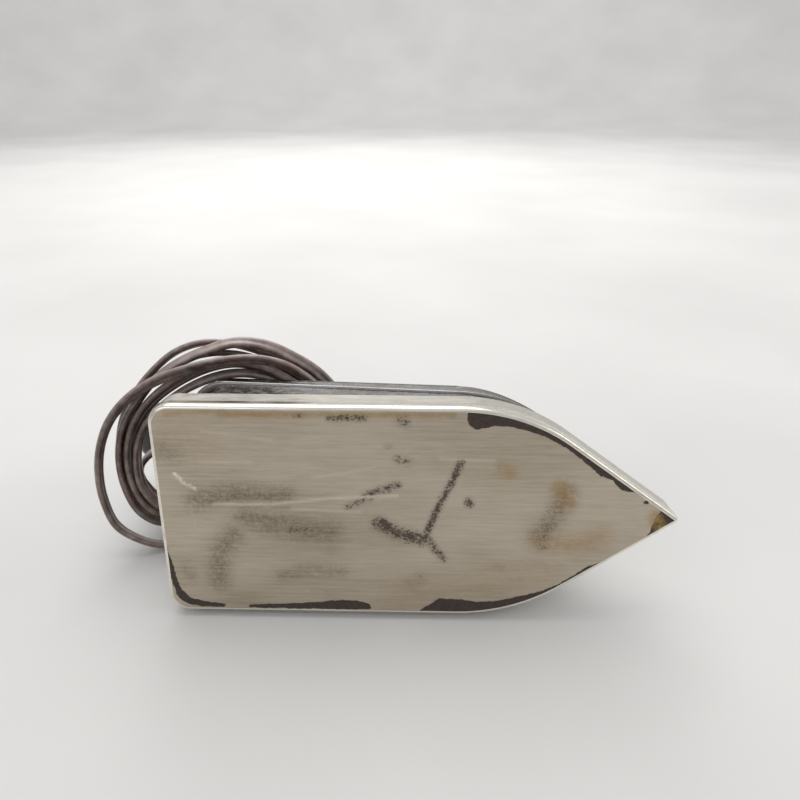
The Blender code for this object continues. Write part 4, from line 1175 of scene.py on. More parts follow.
# ---- Handle ---------------------------------------------------------------------------------------
def handle_line():
    """The middle of the grip, from the heel to the front foot inside the hood's deck."""
    foot = deck_height(FRONT_FOOT_X)
    knots = (
        (-HEEL_REACH, HEEL_Z),
        (0.2 * REAR_POST_X, HEEL_Z + 0.003),
        (2.0 * REAR_POST_X, GRIP_Z - 0.002),
        (0.5 * (REAR_POST_X + FRONT_FOOT_X), GRIP_Z),
        (FRONT_FOOT_X - 0.034, GRIP_Z - 0.0015),
        (FRONT_FOOT_X - 0.015, GRIP_Z - 0.0125),
        (FRONT_FOOT_X - 0.005, 0.42 * GRIP_Z + 0.58 * foot),
        (FRONT_FOOT_X, 0.08 * GRIP_Z + 0.92 * foot),
        (FRONT_FOOT_X + 0.001, foot - FOOT_SINK),
    )
    return smooth_route([(x, 0, z) for x, z in knots], 0.0022)


def grip_rings():
    """Rings square to that line: rounded off at the heel, waisted in the palm and flared at the foot."""
    line = handle_line()
    start, heel_round = line[0], 0.0042
    rounded = [start.lerp(line[2], share) for share in (0.02, 0.08, 0.18, 0.34, 0.55, 0.80)]
    line = [start, *rounded, *line[2:]]
    rings = []
    for i, middle in enumerate(line):
        along = (line[min(i + 1, len(line) - 1)] - line[max(i - 1, 0)]).normalized()
        up = Vector((0, -1, 0)).cross(along)
        gone = (middle - start).length
        trim = heel_round * (1 - math.sqrt(max(0, 1 - max(0, 1 - gone / heel_round) ** 2)))
        to_foot = max(0, 1 - (middle - line[-1]).length / FOOT_FLARE_HEIGHT)
        waist = 0.0008 * math.exp(-(((middle.x - 0.078) / 0.030) ** 2))
        grown = 0.0015 * to_foot * to_foot - trim - waist
        shape = oval(HANDLE_HALF_WIDTH - 0.0005 + grown, GRIP_HALF_HEIGHT + grown, 2.9, 64)
        rings.append([middle + Vector((0, y, 0)) + up * h for y, h in shape])
    return rings


def post_rings():
    """The rear post, from inside the grip down into the deck."""
    foot = deck_height(REAR_POST_X)
    rings = []
    for step in range(19):
        t = step / 18
        z = HEEL_Z + 0.004 + (foot - FOOT_SINK - HEEL_Z - 0.004) * t
        flare = 0.0018 * max(0, (t - 0.6) / 0.4) ** 2
        shape = oval(REAR_POST_HALF_DEPTH + 0.5 * flare, HANDLE_HALF_WIDTH - 0.0025 + flare, 3.2, 64)
        rings.append([(REAR_POST_X + h, y, z) for y, h in shape])
    return rings


def make_handle(context):
    """Grip and post are run together with soft inner corners, as in the mould, then cut to the hood."""
    grip = helper("grip", loft(grip_rings()))
    post = helper("post", loft([[(x, y, z) for x, y, z in ring] for ring in post_rings()]))
    boolean(grip, post, "UNION")
    remesh = grip.modifiers.new("one_body", "REMESH")
    remesh.mode = "VOXEL"
    remesh.voxel_size = 0.0008
    soften = grip.modifiers.new("mould_corners", "SMOOTH")
    soften.factor = 0.5
    soften.iterations = 14
    joined = helper("moulding", bmesh_from(applied(grip)))
    bpy.data.objects.remove(post)
    seat = helper("seat", loft(hood_rings(GAP, hood_lines(sizes().bead_depth))))
    boolean(joined, seat)
    mesh = applied(joined)
    bpy.data.objects.remove(seat)
    handle = finished_mesh("moulded_handle", mesh, PLACE, "iron", bakelite_material(colours()), 60)
    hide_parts("handle")


def bmesh_from(mesh):
    work = bmesh.new()
    work.from_mesh(mesh)
    bpy.data.meshes.remove(mesh)
    return work


# ---- Geometry Nodes -------------------------------------------------------------------------------
def repeat_tree(name, material):
    """Copies an object onto the points of a mesh, turned by each point's own 'turn', then makes them real."""
    tree = bpy.data.node_groups.new(name, "GeometryNodeTree")
    tree.interface.new_socket("Geometry", in_out="INPUT", socket_type="NodeSocketGeometry")
    tree.interface.new_socket("Copied piece", in_out="INPUT", socket_type="NodeSocketObject")
    tree.interface.new_socket("Size", in_out="INPUT", socket_type="NodeSocketFloat")
    tree.interface.new_socket("Geometry", in_out="OUTPUT", socket_type="NodeSocketGeometry")
    entry = add_node(tree, "NodeGroupInput")
    piece = add_node(tree, "GeometryNodeObjectInfo", {"Object": entry.outputs["Copied piece"]})
    turn = add_node(tree, "GeometryNodeInputNamedAttribute", {"Name": "turn"}, data_type="FLOAT_VECTOR")
    copies = add_node(
        tree,
        "GeometryNodeInstanceOnPoints",
        {
            "Points": entry.outputs[0],
            "Instance": piece.outputs["Geometry"],
            "Rotation": turn.outputs[0],
            "Scale": entry.outputs["Size"],
        },
    )
    real = add_node(tree, "GeometryNodeRealizeInstances", {0: copies.outputs[0]})
    painted = add_node(tree, "GeometryNodeSetMaterial", {0: real.outputs[0], "Material": material})
    add_node(tree, "NodeGroupOutput", {0: painted.outputs[0]})
    return tree


def set_input(modifier, name, value):
    socket = next(
        s for s in modifier.node_group.interface.items_tree if s.name == name and s.in_out == "INPUT"
    )
    modifier[socket.identifier] = value


def repeated(name, original, places, turns, place, body, material, smooth_angle=35):
    """One piece of all the copies of original at places, each turned about X, Y and Z by its turn."""
    mesh = bpy.data.meshes.new(name + "_points")
    mesh.from_pydata([tuple(p) for p in places], [], [])
    attribute = mesh.attributes.new("turn", "FLOAT_VECTOR", "POINT")
    attribute.data.foreach_set("vector", np.array(turns, np.float32).ravel())
    holder = bpy.data.objects.new(name + "_points", mesh)
    bpy.context.scene.collection.objects.link(holder)
    modifier = holder.modifiers.new("copies", "NODES")
    modifier.node_group = repeat_tree(name + "_copies", material)
    set_input(modifier, "Copied piece", original)
    set_input(modifier, "Size", 1.0)
    result = applied(holder)
    bpy.data.objects.remove(original)
    return finished_mesh(name, result, place, body, material, smooth_angle)


def sweep_tree(name, material):
    """A profile swept along a line whose points say which way its flat side faces."""
    tree = bpy.data.node_groups.new(name, "GeometryNodeTree")
    tree.interface.new_socket("Geometry", in_out="INPUT", socket_type="NodeSocketGeometry")
    tree.interface.new_socket("Profile", in_out="INPUT", socket_type="NodeSocketObject")
    tree.interface.new_socket("Geometry", in_out="OUTPUT", socket_type="NodeSocketGeometry")
    entry = add_node(tree, "NodeGroupInput")
    line = add_node(tree, "GeometryNodeMeshToCurve", {"Mesh": entry.outputs[0]})
    facing = add_node(tree, "GeometryNodeInputNamedAttribute", {"Name": "facing"}, data_type="FLOAT_VECTOR")
    normal = add_node(
        tree,
        "GeometryNodeSetCurveNormal",
        {"Curve": line.outputs[0], "Normal": facing.outputs[0]},
        mode="FREE",
    )
    profile = add_node(tree, "GeometryNodeObjectInfo", {"Object": entry.outputs["Profile"]})
    outline = add_node(tree, "GeometryNodeMeshToCurve", {"Mesh": profile.outputs["Geometry"]})
    swept = add_node(
        tree,
        "GeometryNodeCurveToMesh",
        {"Curve": normal.outputs[0], "Profile Curve": outline.outputs[0], "Fill Caps": True},
    )
    real = add_node(tree, "GeometryNodeRealizeInstances", {0: swept.outputs[0]})
    painted = add_node(tree, "GeometryNodeSetMaterial", {0: real.outputs[0], "Material": material})
    add_node(tree, "NodeGroupOutput", {0: painted.outputs[0]})
    return tree


# ---- Nuts and washers -----------------------------------------------------------------------------
def hexagon_rings():
    """A hexagonal nut with chamfered corners, under a dome."""
    rings = []
    for z, corner, flat in ((0.0, 0.93, 1.0), (0.06, 1.0, 1.0), (0.86, 1.0, 1.0), (1.0, 0.93, 0.99)):
        ring = []
        for i in range(48):
            angle = 2 * math.pi * (i + 0.5) / 48
            to_flat = math.cos((angle % (math.pi / 3)) - math.pi / 6)
            reach = NUT_RADIUS * min(math.cos(math.pi / 6) / to_flat, corner) * flat
            ring.append((reach * math.cos(angle), reach * math.sin(angle), z * NUT_HEIGHT))
        rings.append(ring)
    for step in range(9):
        angle = 0.5 * math.pi * step / 8.4
        reach = 0.80 * NUT_RADIUS * math.cos(angle)
        z = NUT_HEIGHT + 0.86 * NUT_RADIUS * math.sin(angle)
        turn = [2 * math.pi * (i + 0.5) / 48 for i in range(48)]
        rings.append([(reach * math.cos(a), reach * math.sin(a), z) for a in turn])
    return rings


def stud_tops():
    return [deck_height(x - WASHER_RADIUS) + GAP + WASHER_THICKNESS + GAP for x in STUDS_X]


def make_nuts(context):
    steel = metal_material("nickel_plated_nuts", "#D8D5CE", "#A9A59C", 0.18, 0.42)
    nut = helper("domed_nut", loft(hexagon_rings()))
    places = [(x, 0, z) for x, z in zip(STUDS_X, stud_tops())]
    nuts = repeated("domed_nuts", nut, places, [(0, 0, 0.2), (0, 0, 0.75)], PLACE, "iron", steel)
    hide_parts("domed_nut_front", "domed_nut_rear")
    edge = 0.0002
    profile = (
        (0.0031, edge), (0.0033, 0), (WASHER_RADIUS - edge, 0), (WASHER_RADIUS, edge),
        (WASHER_RADIUS, WASHER_THICKNESS - edge), (WASHER_RADIUS - edge, WASHER_THICKNESS),
        (0.0033, WASHER_THICKNESS), (0.0031, WASHER_THICKNESS - edge), (0.0031, edge),
    )
    ring = helper("washer", turned(profile))
    places = [(x, 0, z - GAP - WASHER_THICKNESS) for x, z in zip(STUDS_X, stud_tops())]
    washers = repeated("hood_washers", ring, places, [(0, 0, 0), (0, 0, 0)], PLACE, "iron", steel)
    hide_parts("hood_washer_front", "hood_washer_rear")


# ---- Heat control ---------------------------------------------------------------------------------
def dial_sizes():
    """Radius and height of the dial's body and of its plate, in the joint's frame."""
    back = turning_place("dial_turn").inverted()
    knob = [back @ v.co for v in frame["nodes"]["heat_dial"].data.vertices]
    plate = [back @ v.co for v in frame["nodes"]["dial_plate"].data.vertices]
    radius = max(math.hypot(p.x, p.y) for p in knob)
    plate_radius = max(math.hypot(p.x, p.y) for p in plate)
    return radius, min(p.z for p in knob), max(p.z for p in knob), plate_radius, min(p.z for p in plate)


def make_dial(context):
    place = turning_place("dial_turn")
    radius, low, high, plate_radius, plate_low = dial_sizes()
    top = high - 0.0016
    flutes = sizes().dial_flutes
    profile = (
        (0.90, low, 0.0), (0.965, low + 0.0002, 0.4), (1.0, low + 0.0007, 1.0), (0.995, low + 0.0030, 1.0),
        (0.970, low + 0.0055, 1.0), (0.935, low + 0.0072, 0.9), (0.88, top - 0.0013, 0.5), (
            0.81, top - 0.0005, 0.1
        ),
        (0.74, top - 0.0001, 0.0), (0.66, top, 0.0), (0.60, top - 0.0004, 0.0), (0.57, top - 0.0007, 0.0),
        (0.40, top - 0.0008, 0.0), (0.15, top - 0.0008, 0.0),
    )
    rings = []
    count = flutes * 8
    for share, z, fluted in profile:
        ring = []
        for i in range(count):
            angle = 2 * math.pi * (i + 0.5) / count
            dip = 0.035 * fluted * (0.5 + 0.5 * math.cos(flutes * angle)) ** 2
            reach = radius * (share - dip)
            ring.append((reach * math.cos(angle), reach * math.sin(angle), z))
        rings.append(ring)
    knob = helper("knob", loft(rings))
    bar_rings = []
    for share in (-1.0, -0.985, -0.95, -0.6, 0.0, 0.6, 0.95, 0.985, 1.0):
        slim = 0.0018 if abs(share) < 0.96 else 0.0018 * (0.75 if abs(share) < 0.99 else 0.45)
        along = share * 0.80 * radius
        bar_rings.append([(along, a, top - 0.0004 + b) for a, b in oval(slim, slim * 1.1, 3, 24)])
    bar = helper("bar", loft(bar_rings))
    boolean(knob, bar, "UNION")
    mesh = applied(knob)
    bpy.data.objects.remove(bar)
    black = bakelite_material(colours())
    dial = finished_mesh("fluted_dial", mesh, place, "dial", black, 30)
    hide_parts("heat_dial")
    make_pointer(place, radius, top)
    make_scale(place, plate_radius, plate_low)


def make_pointer(place, radius, top):
    """The inlaid line on the dial's bar that points to the scale."""
    rings = []
    for along, slim in ((0.30, 0.3), (0.31, 0.9), (0.60, 1.0), (0.77, 0.9), (0.78, 0.3)):
        line = oval(0.00042 * slim, 0.00025, 3, 12)
        rings.append([(along * radius, a, top + 0.00150 + b) for a, b in line])
    paint = mineral_material("pointer_enamel", "#E9E3D3", "#D3CBB8", 0.35, 0.0008, 0.2)
    line = finished("dial_pointer_line", loft(rings), place, "dial", paint)


def make_scale(place, radius, low):
    """A spun aluminium plate with a rolled rim, and ticks evenly spaced round it."""
    high = low + 0.0008
    profile = (
        (0.0030, low), (radius - 0.0002, low), (radius, low + 0.0002), (radius, high - 0.0001),
        (radius - 0.0002, high + 0.0001), (radius - 0.0006, high + 0.0001), (radius - 0.0008, high - 0.0002),
        (radius - 0.0012, high - 0.0003), (0.0032, high - 0.0003), (0.0030, high - 0.0004), (0.0030, low),
    )
    aluminium = metal_material("spun_aluminium_scale", "#D9D9D8", "#B5B5B4", 0.28, 0.45, (1, 1, 1), "#8A8578")
    plate = finished("heat_scale", turned(profile, 72), place, "iron", aluminium)
    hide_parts("dial_plate")
    work = bmesh.new()
    size = Matrix.Diagonal((0.0010, 0.00022, 0.00016, 1))
    bmesh.ops.create_cube(work, size=1, matrix=size)
    bmesh.ops.bevel(work, geom=work.edges[:], offset=0.00004, segments=1, affect="EDGES")
    tick = helper("tick", work)
    count = sizes().scale_ticks
    angles = [math.radians(-135 + 270 * i / (count - 1)) for i in range(count)]
    reach = radius - 0.0018
    places = [(reach * math.cos(a), reach * math.sin(a), high - 0.0002) for a in angles]
    ink = mineral_material("scale_enamel", "#2A2725", "#3A3532", 0.4, 0.0006)
    ticks = repeated("scale_ticks", tick, places, [(0, 0, a) for a in angles], place, "iron", ink)


# ---- Sleeve ---------------------------------------------------------------------------------------
def make_sleeve(context):
    """A tapered rubber sleeve with ribs, open at its mouth, where the flex leaves the handle."""
    ribs = sizes().sleeve_ribs
    taper = SLEEVE_TIP_RADIUS - SLEEVE_ROOT_RADIUS
    profile = [(0.0027, 0.0), (SLEEVE_ROOT_RADIUS + 0.0006, 0.0), (SLEEVE_ROOT_RADIUS + 0.0008, 0.0004)]
    profile += [(SLEEVE_ROOT_RADIUS + 0.0008, 0.0024), (SLEEVE_ROOT_RADIUS + 0.0004, 0.0028)]
    start, end = 0.0034, SLEEVE_LENGTH - 0.0016
    pitch = (end - start) / ribs
    for i in range(ribs):
        for share, proud in ((0.05, -0.0005), (0.25, -0.00055), (0.42, 0.0), (0.60, 0.00018), (0.86, 0.0)):
            z = start + (i + share) * pitch
            profile.append((SLEEVE_ROOT_RADIUS + taper * z / SLEEVE_LENGTH + proud, z))
    profile += [
        (SLEEVE_TIP_RADIUS, SLEEVE_LENGTH - 0.0008), (SLEEVE_TIP_RADIUS - 0.0003, SLEEVE_LENGTH),
        (0.0034, SLEEVE_LENGTH), (0.0031, SLEEVE_LENGTH - 0.0004), (0.0029, SLEEVE_LENGTH - 0.004), (
            0.0027, 0.0
        ),
    ]
    along = Matrix.Translation((SLEEVE_START_X, 0, SLEEVE_Z)) @ Matrix.Rotation(-math.pi / 2, 4, "Y")
    sleeve = finished("flex_sleeve", turned(profile), PLACE @ along, "iron", rubber_material(), 50)
    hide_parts("cord_sleeve")


# ---- Flex -----------------------------------------------------------------------------------------
def coil_frame():
    """Points evenly round the coil's middle line, with the ways out of the coil and towards the sole."""
    dense = np.array([tuple(p) for p in smooth_route(COIL_LINE, 0.001, closed=True)])
    steps = np.linalg.norm(np.roll(dense, -1, 0) - dense, axis=1)
    gone = np.concatenate([[0], np.cumsum(steps)])
    wanted = np.linspace(0, gone[-1], COIL_SAMPLES, endpoint=False)
    closed = np.vstack([dense, dense[:1]])
    line = np.stack([np.interp(wanted, gone, closed[:, k]) for k in range(3)], axis=1)
    along = np.roll(line, -1, 0) - np.roll(line, 1, 0)
    along /= np.linalg.norm(along, axis=1)[:, None]
    axis = np.cross(line - line.mean(0), along).mean(0)
    axis /= np.linalg.norm(axis)
    if axis[2] > 0:
        axis = -axis
    across = axis - (along @ axis)[:, None] * along
    across /= np.linalg.norm(across, axis=1)[:, None]
    out = np.cross(along, across)
    if ((line - line.mean(0)) * out).sum() < 0:
        out = -out
    return line, along, out, across


def wanted_places(turn):
    """Out from the middle line and towards the sole at each point of the coil, before it settles."""
    at, out, across = [], [], []
    for i, (layer, row) in enumerate(TURN_PLACES):
        at += [i - 1 + share for share in TURN_STATIONS]
        out += row
        across += [layer] * len(row)
    places = np.stack([np.interp(turn, at, out), np.interp(turn, at, across)], axis=1) * MM
    for _ in range(14):
        places[1:-1] = 0.25 * places[:-2] + 0.5 * places[1:-1] + 0.25 * places[2:]
    return places


def settled_turns():
    """The coil's turns, pushed apart until none lies in another, kept behind the hood and off the table."""
    line, along, out, across = coil_frame()
    at = np.arange(int(COIL_START * COIL_SAMPLES), int(COIL_END * COIL_SAMPLES))
    turn = at / COIL_SAMPLES
    spot = at % COIL_SAMPLES
    middle, way, outward, towards = line[spot], along[spot], out[spot], across[spot]
    hidden = np.exp(-((((turn % 1) - 0.41) / 0.22) ** 6))
    limit = (13.0 - 5.8 * hidden) * MM
    wanted = wanted_places(turn)
    size = np.linalg.norm(wanted, axis=1)
    wanted *= np.minimum(1, limit / size)[:, None]
    shift = np.zeros_like(wanted)
    near = np.abs(at[:, None] - at[None, :]) < 20
    spacing = np.array((2.95, 5.1)) * MM
    for _ in range(90):
        place = wanted + shift
        point = middle + outward * place[:, :1] + towards * place[:, 1:]
        gap = point[:, None, :] - point[None, :, :]
        d_out = np.einsum("ijk,ik->ij", gap, outward) / spacing[0]
        d_across = np.einsum("ijk,ik->ij", gap, towards) / spacing[1]
        d_along = np.einsum("ijk,ik->ij", gap, way) / (2.6 * MM)
        reach = np.sqrt(d_out ** 2 + d_across ** 2) + 1e-6
        push = np.where((reach < 1) & (np.abs(d_along) < 1) & ~near, (1 - reach) / reach, 0)
        counted = np.maximum((push > 0).sum(1), 1)
        shift[:, 0] += 0.30 * spacing[0] * (push * d_out).sum(1) / counted
        shift[:, 1] += 0.55 * spacing[1] * (push * d_across).sum(1) / counted
        shift[1:-1] = 0.25 * shift[:-2] + 0.5 * shift[1:-1] + 0.25 * shift[2:]
    place = wanted + shift
    point = middle + outward * place[:, :1] + towards * place[:, 1:]
    floor = np.array([table_y(z) for z in point[:, 2]]) - 0.0021
    point[:, 1] = np.minimum(point[:, 1], floor)
    return point, towards, turn


def even_route(points, spacing):
    """Points evenly spaced along a dense line of points."""
    dense = np.array([tuple(p) for p in points])
    gone = np.concatenate([[0], np.cumsum(np.linalg.norm(np.diff(dense, axis=0), axis=1))])
    wanted = np.linspace(0, gone[-1], round(gone[-1] / spacing) + 1)
    return np.stack([np.interp(wanted, gone, dense[:, k]) for k in range(3)], axis=1), wanted / gone[-1]


def bend_radii(route, reach):
    """The radius of the circle through each point and the two that lie so many points before and after it."""
    before, here, after = route[:-2 * reach], route[reach:-reach], route[2 * reach:]
    sides = [np.linalg.norm(side, axis=1) for side in (here - before, after - here, after - before)]
    twice_area = np.linalg.norm(np.cross(here - before, after - before), axis=1)
    radii = np.full(len(route), 1.0)
    radii[reach:-reach] = sides[0] * sides[1] * sides[2] / np.maximum(2 * twice_area, 1e-12)
    return radii


def eased(route, least):
    """The route with its tight places smoothed until none bends closer than the least radius."""
    for _ in range(600):
        tight = bend_radii(route, BEND_REACH) < least
        if not tight.any():
            break
        near = np.convolve(tight, np.ones(4 * BEND_REACH + 1), "same") > 0.5
        near[[0, -1]] = False
        smoother = route.copy()
        smoother[1:-1] = 0.25 * route[:-2] + 0.5 * route[1:-1] + 0.25 * route[2:]
        route[near] = smoother[near]
    return route


def flex_route():
    """The whole flex in the iron's frame, from the sleeve to the plug, and the way its flat side faces."""
    turns, towards, turn = settled_turns()
    pick = slice(3, -2, 5)
    knots = [*LEAD_ROUTE, *turns[pick], *END_ROUTE]
    ways = [(0, 0.25, -1)] * len(LEAD_ROUTE) + [*towards[pick]] + [(0.35, 0.35, -0.8)] * 2
    ways += [(1, 0.1, 0)] * (len(END_ROUTE) - 2)
    twists = np.interp(turn[pick], *zip(*TURN_TWISTS))
    twists = np.concatenate([[0] * len(LEAD_ROUTE), twists, [0] * len(END_ROUTE)])
    route, share = even_route(smooth_route(knots, 0.0006), 0.00125)
    for _ in range(6):
        route[1:-1] = 0.25 * route[:-2] + 0.5 * route[1:-1] + 0.25 * route[2:]
    route = eased(route, 2 * sizes().flex_width)
    knots = np.array(knots, float)
    gone = np.concatenate([[0], np.cumsum(np.linalg.norm(np.diff(knots, axis=0), axis=1))])
    gone /= gone[-1]
    ways = np.array(ways, float)
    facing = []
    for i, point in enumerate(route):
        along = Vector(route[min(i + 1, len(route) - 1)] - route[max(i - 1, 0)]).normalized()
        way = Vector([np.interp(share[i], gone, ways[:, k]) for k in range(3)])
        way = (way - along * way.dot(along)).normalized()
        twist = math.radians(np.interp(share[i], gone, twists))
        facing.append(Matrix.Rotation(twist, 3, along) @ way)
    return [Vector(point) for point in route], facing


def flex_profile():
    """Two round cores side by side with a groove between them."""
    half, core = sizes().flex_width / 2, sizes().flex_thickness / 2
    shape = []
    for side in (1, -1):
        for step in range(9):
            angle = math.radians(-128 + 256 * step / 8)
            shape.append((side * (half - core + core * math.cos(angle)), side * core * math.sin(angle)))
    mesh = bpy.data.meshes.new("flex_profile")
    count = len(shape)
    mesh.from_pydata([(x, y, 0) for x, y in shape], [(i, (i + 1) % count) for i in range(count)], [])
    profile = bpy.data.objects.new("flex_profile", mesh)
    bpy.context.scene.collection.objects.link(profile)
    return profile


def make_flex(context):
    route, facing = flex_route()
    mesh = bpy.data.meshes.new("flex_line")
    mesh.from_pydata([tuple(p) for p in route], [(i, i + 1) for i in range(len(route) - 1)], [])
    attribute = mesh.attributes.new("facing", "FLOAT_VECTOR", "POINT")
    attribute.data.foreach_set("vector", np.array([tuple(v) for v in facing], np.float32).ravel())
    holder = bpy.data.objects.new("flex_line", mesh)
    bpy.context.scene.collection.objects.link(holder)
    profile = flex_profile()
    brown = flex_material(colours())
    modifier = holder.modifiers.new("swept", "NODES")
    modifier.node_group = sweep_tree("flex_sweep", brown)
    set_input(modifier, "Profile", profile)
    result = applied(holder)
    bpy.data.objects.remove(profile)
    work = bmesh_from(result)
    bmesh.ops.remove_doubles(work, verts=work.verts, dist=1e-6)
    bmesh.ops.recalc_face_normals(work, faces=work.faces)
    flex = finished("twin_flex", work, material=brown, smooth_angle=75)
    # How far each point faces up, which drives the flex's painted top highlight.
    upper = np.clip([vert.normal.z for vert in flex.data.vertices], 0, 1)
    flex.data.attributes.new("upper", "FLOAT", "POINT").data.foreach_set("value", upper.astype(np.float32))
    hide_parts("cord_lead", "cord_coil", "cord_end")


# ---- Plug -----------------------------------------------------------------------------------------
def plug_rings(stations, middle, half_width, half_height):
    return [
        [(x, middle.y + a, middle.z + b) for a, b in oval(half_width * wide, half_height * high, 3, 64)]
        for x, wide, high in stations
    ]


def make_plug(context):
    """A round-pin plug: tapered cover with grip ribs, a base with a raised rim, turned pins and one screw."""
    low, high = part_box("plug_cover")
    middle = (low + high) / 2
    half_width, half_height = (high.y - low.y) / 2, (high.z - low.z) / 2
    length = high.x - low.x
    black = bakelite_material(colours())
    stations = [(low.x, 0.22, 0.40), (low.x + 0.0003, 0.29, 0.49), (low.x + 0.0012, 0.345, 0.55)]
    knots = (
        (0.06, 0.37, 0.575), (0.25, 0.47, 0.67), (0.45, 0.665, 0.83), (0.65, 0.86, 0.94), (0.85, 0.975, 0.99)
    )
    spread = smooth_route([(t, wide, tall) for t, wide, tall in knots], 0.012)
    for t, wide, tall in spread:
        rib = 0.018 * max(0, math.sin(2 * math.pi * (t - 0.1) * 9)) * (0.12 < t < 0.60)
        stations.append((low.x + t * length, wide + rib, tall + rib))
    stations += [(low.x + 0.92 * length, 0.995, 0.998), (high.x - 0.0004, 1.0, 1.0), (high.x, 0.985, 0.98)]
    shell = finished(
        "plug_shell", loft(plug_rings(stations, middle, half_width, half_height)), None, "iron", black
    )
    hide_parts("plug_cover")
    low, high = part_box("plug_base")
    stations = (
        (low.x, 0.975, 0.97), (low.x + 0.0004, 1.0, 1.0), (low.x + 0.0030, 1.0, 1.0), (
            low.x + 0.0034, 0.985, 0.98
        ),
        (low.x + 0.0042, 0.985, 0.98), (low.x + 0.0046, 1.0, 1.0), (high.x - 0.0022, 0.995, 0.99),
        (high.x - 0.0008, 0.97, 0.955), (high.x - 0.0002, 0.945, 0.92), (high.x, 0.91, 0.87),
        (high.x - 0.0003, 0.85, 0.80), (high.x - 0.0005, 0.80, 0.74),
    )
    face = finished(
        "plug_face", loft(plug_rings(stations, middle, half_width, half_height)), None, "iron", black
    )
    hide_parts("plug_base")
    make_pins(high.x)


def make_pins(face_x):
    brass = metal_material("turned_brass", "#D6B36A", "#B48E48", 0.20, 0.40)
    left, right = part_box("plug_pin_left"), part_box("plug_pin_right")
    radius = (left[1].z - left[0].z) / 2
    length = left[1].x - face_x + 0.0008
    profile = [(0.0, 0.0), (radius, 0.0)]
    profile += [(radius + 0.0006, 0.0002), (radius + 0.0006, 0.0012), (radius, 0.0014)]
    for step in range(7):
        angle = 0.5 * math.pi * step / 6
        profile.append((radius * math.cos(angle), length - radius * (1 - math.sin(angle))))
    profile[-1] = (0.0, length)
    pin = helper("pin", turned(profile, 32))
    places = [(face_x - 0.0008, (a.y + b.y) / 2, (a.z + b.z) / 2) for a, b in (left, right)]
    turns = [(0, math.pi / 2, 0)] * 2
    pins = repeated("plug_pins", pin, places, turns, None, "iron", brass)
    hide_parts("plug_pin_left", "plug_pin_right")
    low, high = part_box("plug_screw")
    middle = (low + high) / 2
    head = helper(
        "head", turned(((0.0, 0.0), (0.0023, 0.0), (0.0023, 0.0006), (0.0019, 0.0009), (0.0, 0.0010)), 32)
    )
    work = bmesh.new()
    slot = Matrix.Translation((0, 0, 0.0010)) @ Matrix.Diagonal((0.006, 0.0005, 0.0010, 1))
    bmesh.ops.create_cube(work, size=1, matrix=slot)
    cutter = helper("slot", work)
    boolean(head, cutter)
    mesh = applied(head)
    bpy.data.objects.remove(cutter)
    turn = Matrix.Translation((face_x - 0.0004, middle.y, middle.z)) @ Matrix.Rotation(math.pi / 2, 4, "Y")
    screw = finished_mesh("plug_face_screw", mesh, turn @ Matrix.Rotation(0.5, 4, "Z"), "iron", brass)
    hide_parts("plug_screw")


# ---- Inner pieces ---------------------------------------------------------------------------------
def make_inner(context):
    """The pieces inside keep their shapes and get the finish of their stock."""
    own = colours()
    finishes = {
        "bright_steel": metal_material("zinc_plated_steel", "#CFCFCB", "#A5A6A4", 0.24, 0.42),
        "cast_iron": metal_material("grey_cast_iron", "#5C5A57", "#3F3D3B", 0.55, 0.75, (1, 1, 1), "#6E4630"),
        "mica": mineral_material("pressed_mica", "#C9B79A", "#A08C6A", 0.35, 0.0022, 0.4, (1, 1, 4)),
        "resistance_wire": metal_material("oxidised_nichrome", "#7B7670", "#57524C", 0.38, 0.55, (1, 0.1, 1)),
        "mineral_board": mineral_material(
            "mineral_board", "#DBD7CC", "#BDB7A8", 0.90, 0.0009, 0.0, (1, 0.3, 1)
        ),
        "porcelain": mineral_material("glazed_porcelain", "#ECE8DD", "#DFD9CA", 0.18, 0.0040, 0.5),
        "brass": metal_material("sheet_brass", "#D2AE62", "#AE8A45", 0.26, 0.46, (0.1, 1, 1)),
        "brown_flex": flex_material(own),
    }
    slots = {row["node"]: row["material_slot"] for row in frame["record"]["subparts"]}
    for name, node in frame["nodes"].items():
        if not node.hide_render:
            if not node.data.materials:
                node.data.materials.append(None)
            for slot in node.material_slots:
                slot.material = finishes[slots[name]]


# ---- Stage ----------------------------------------------------------------------------------------
def add_light(name, size, power, place, target, tint):
    light = bpy.data.lights.new(name, "AREA")
    light.shape = "DISK"
    light.size = size
    light.energy = power
    light.color = tint
    lamp = bpy.data.objects.new(name, light)
    bpy.context.scene.collection.objects.link(lamp)
    lamp.location = place
    lamp.rotation_mode = "QUATERNION"
    lamp.rotation_quaternion = (Vector(target) - Vector(place)).to_track_quat("-Z", "Y")


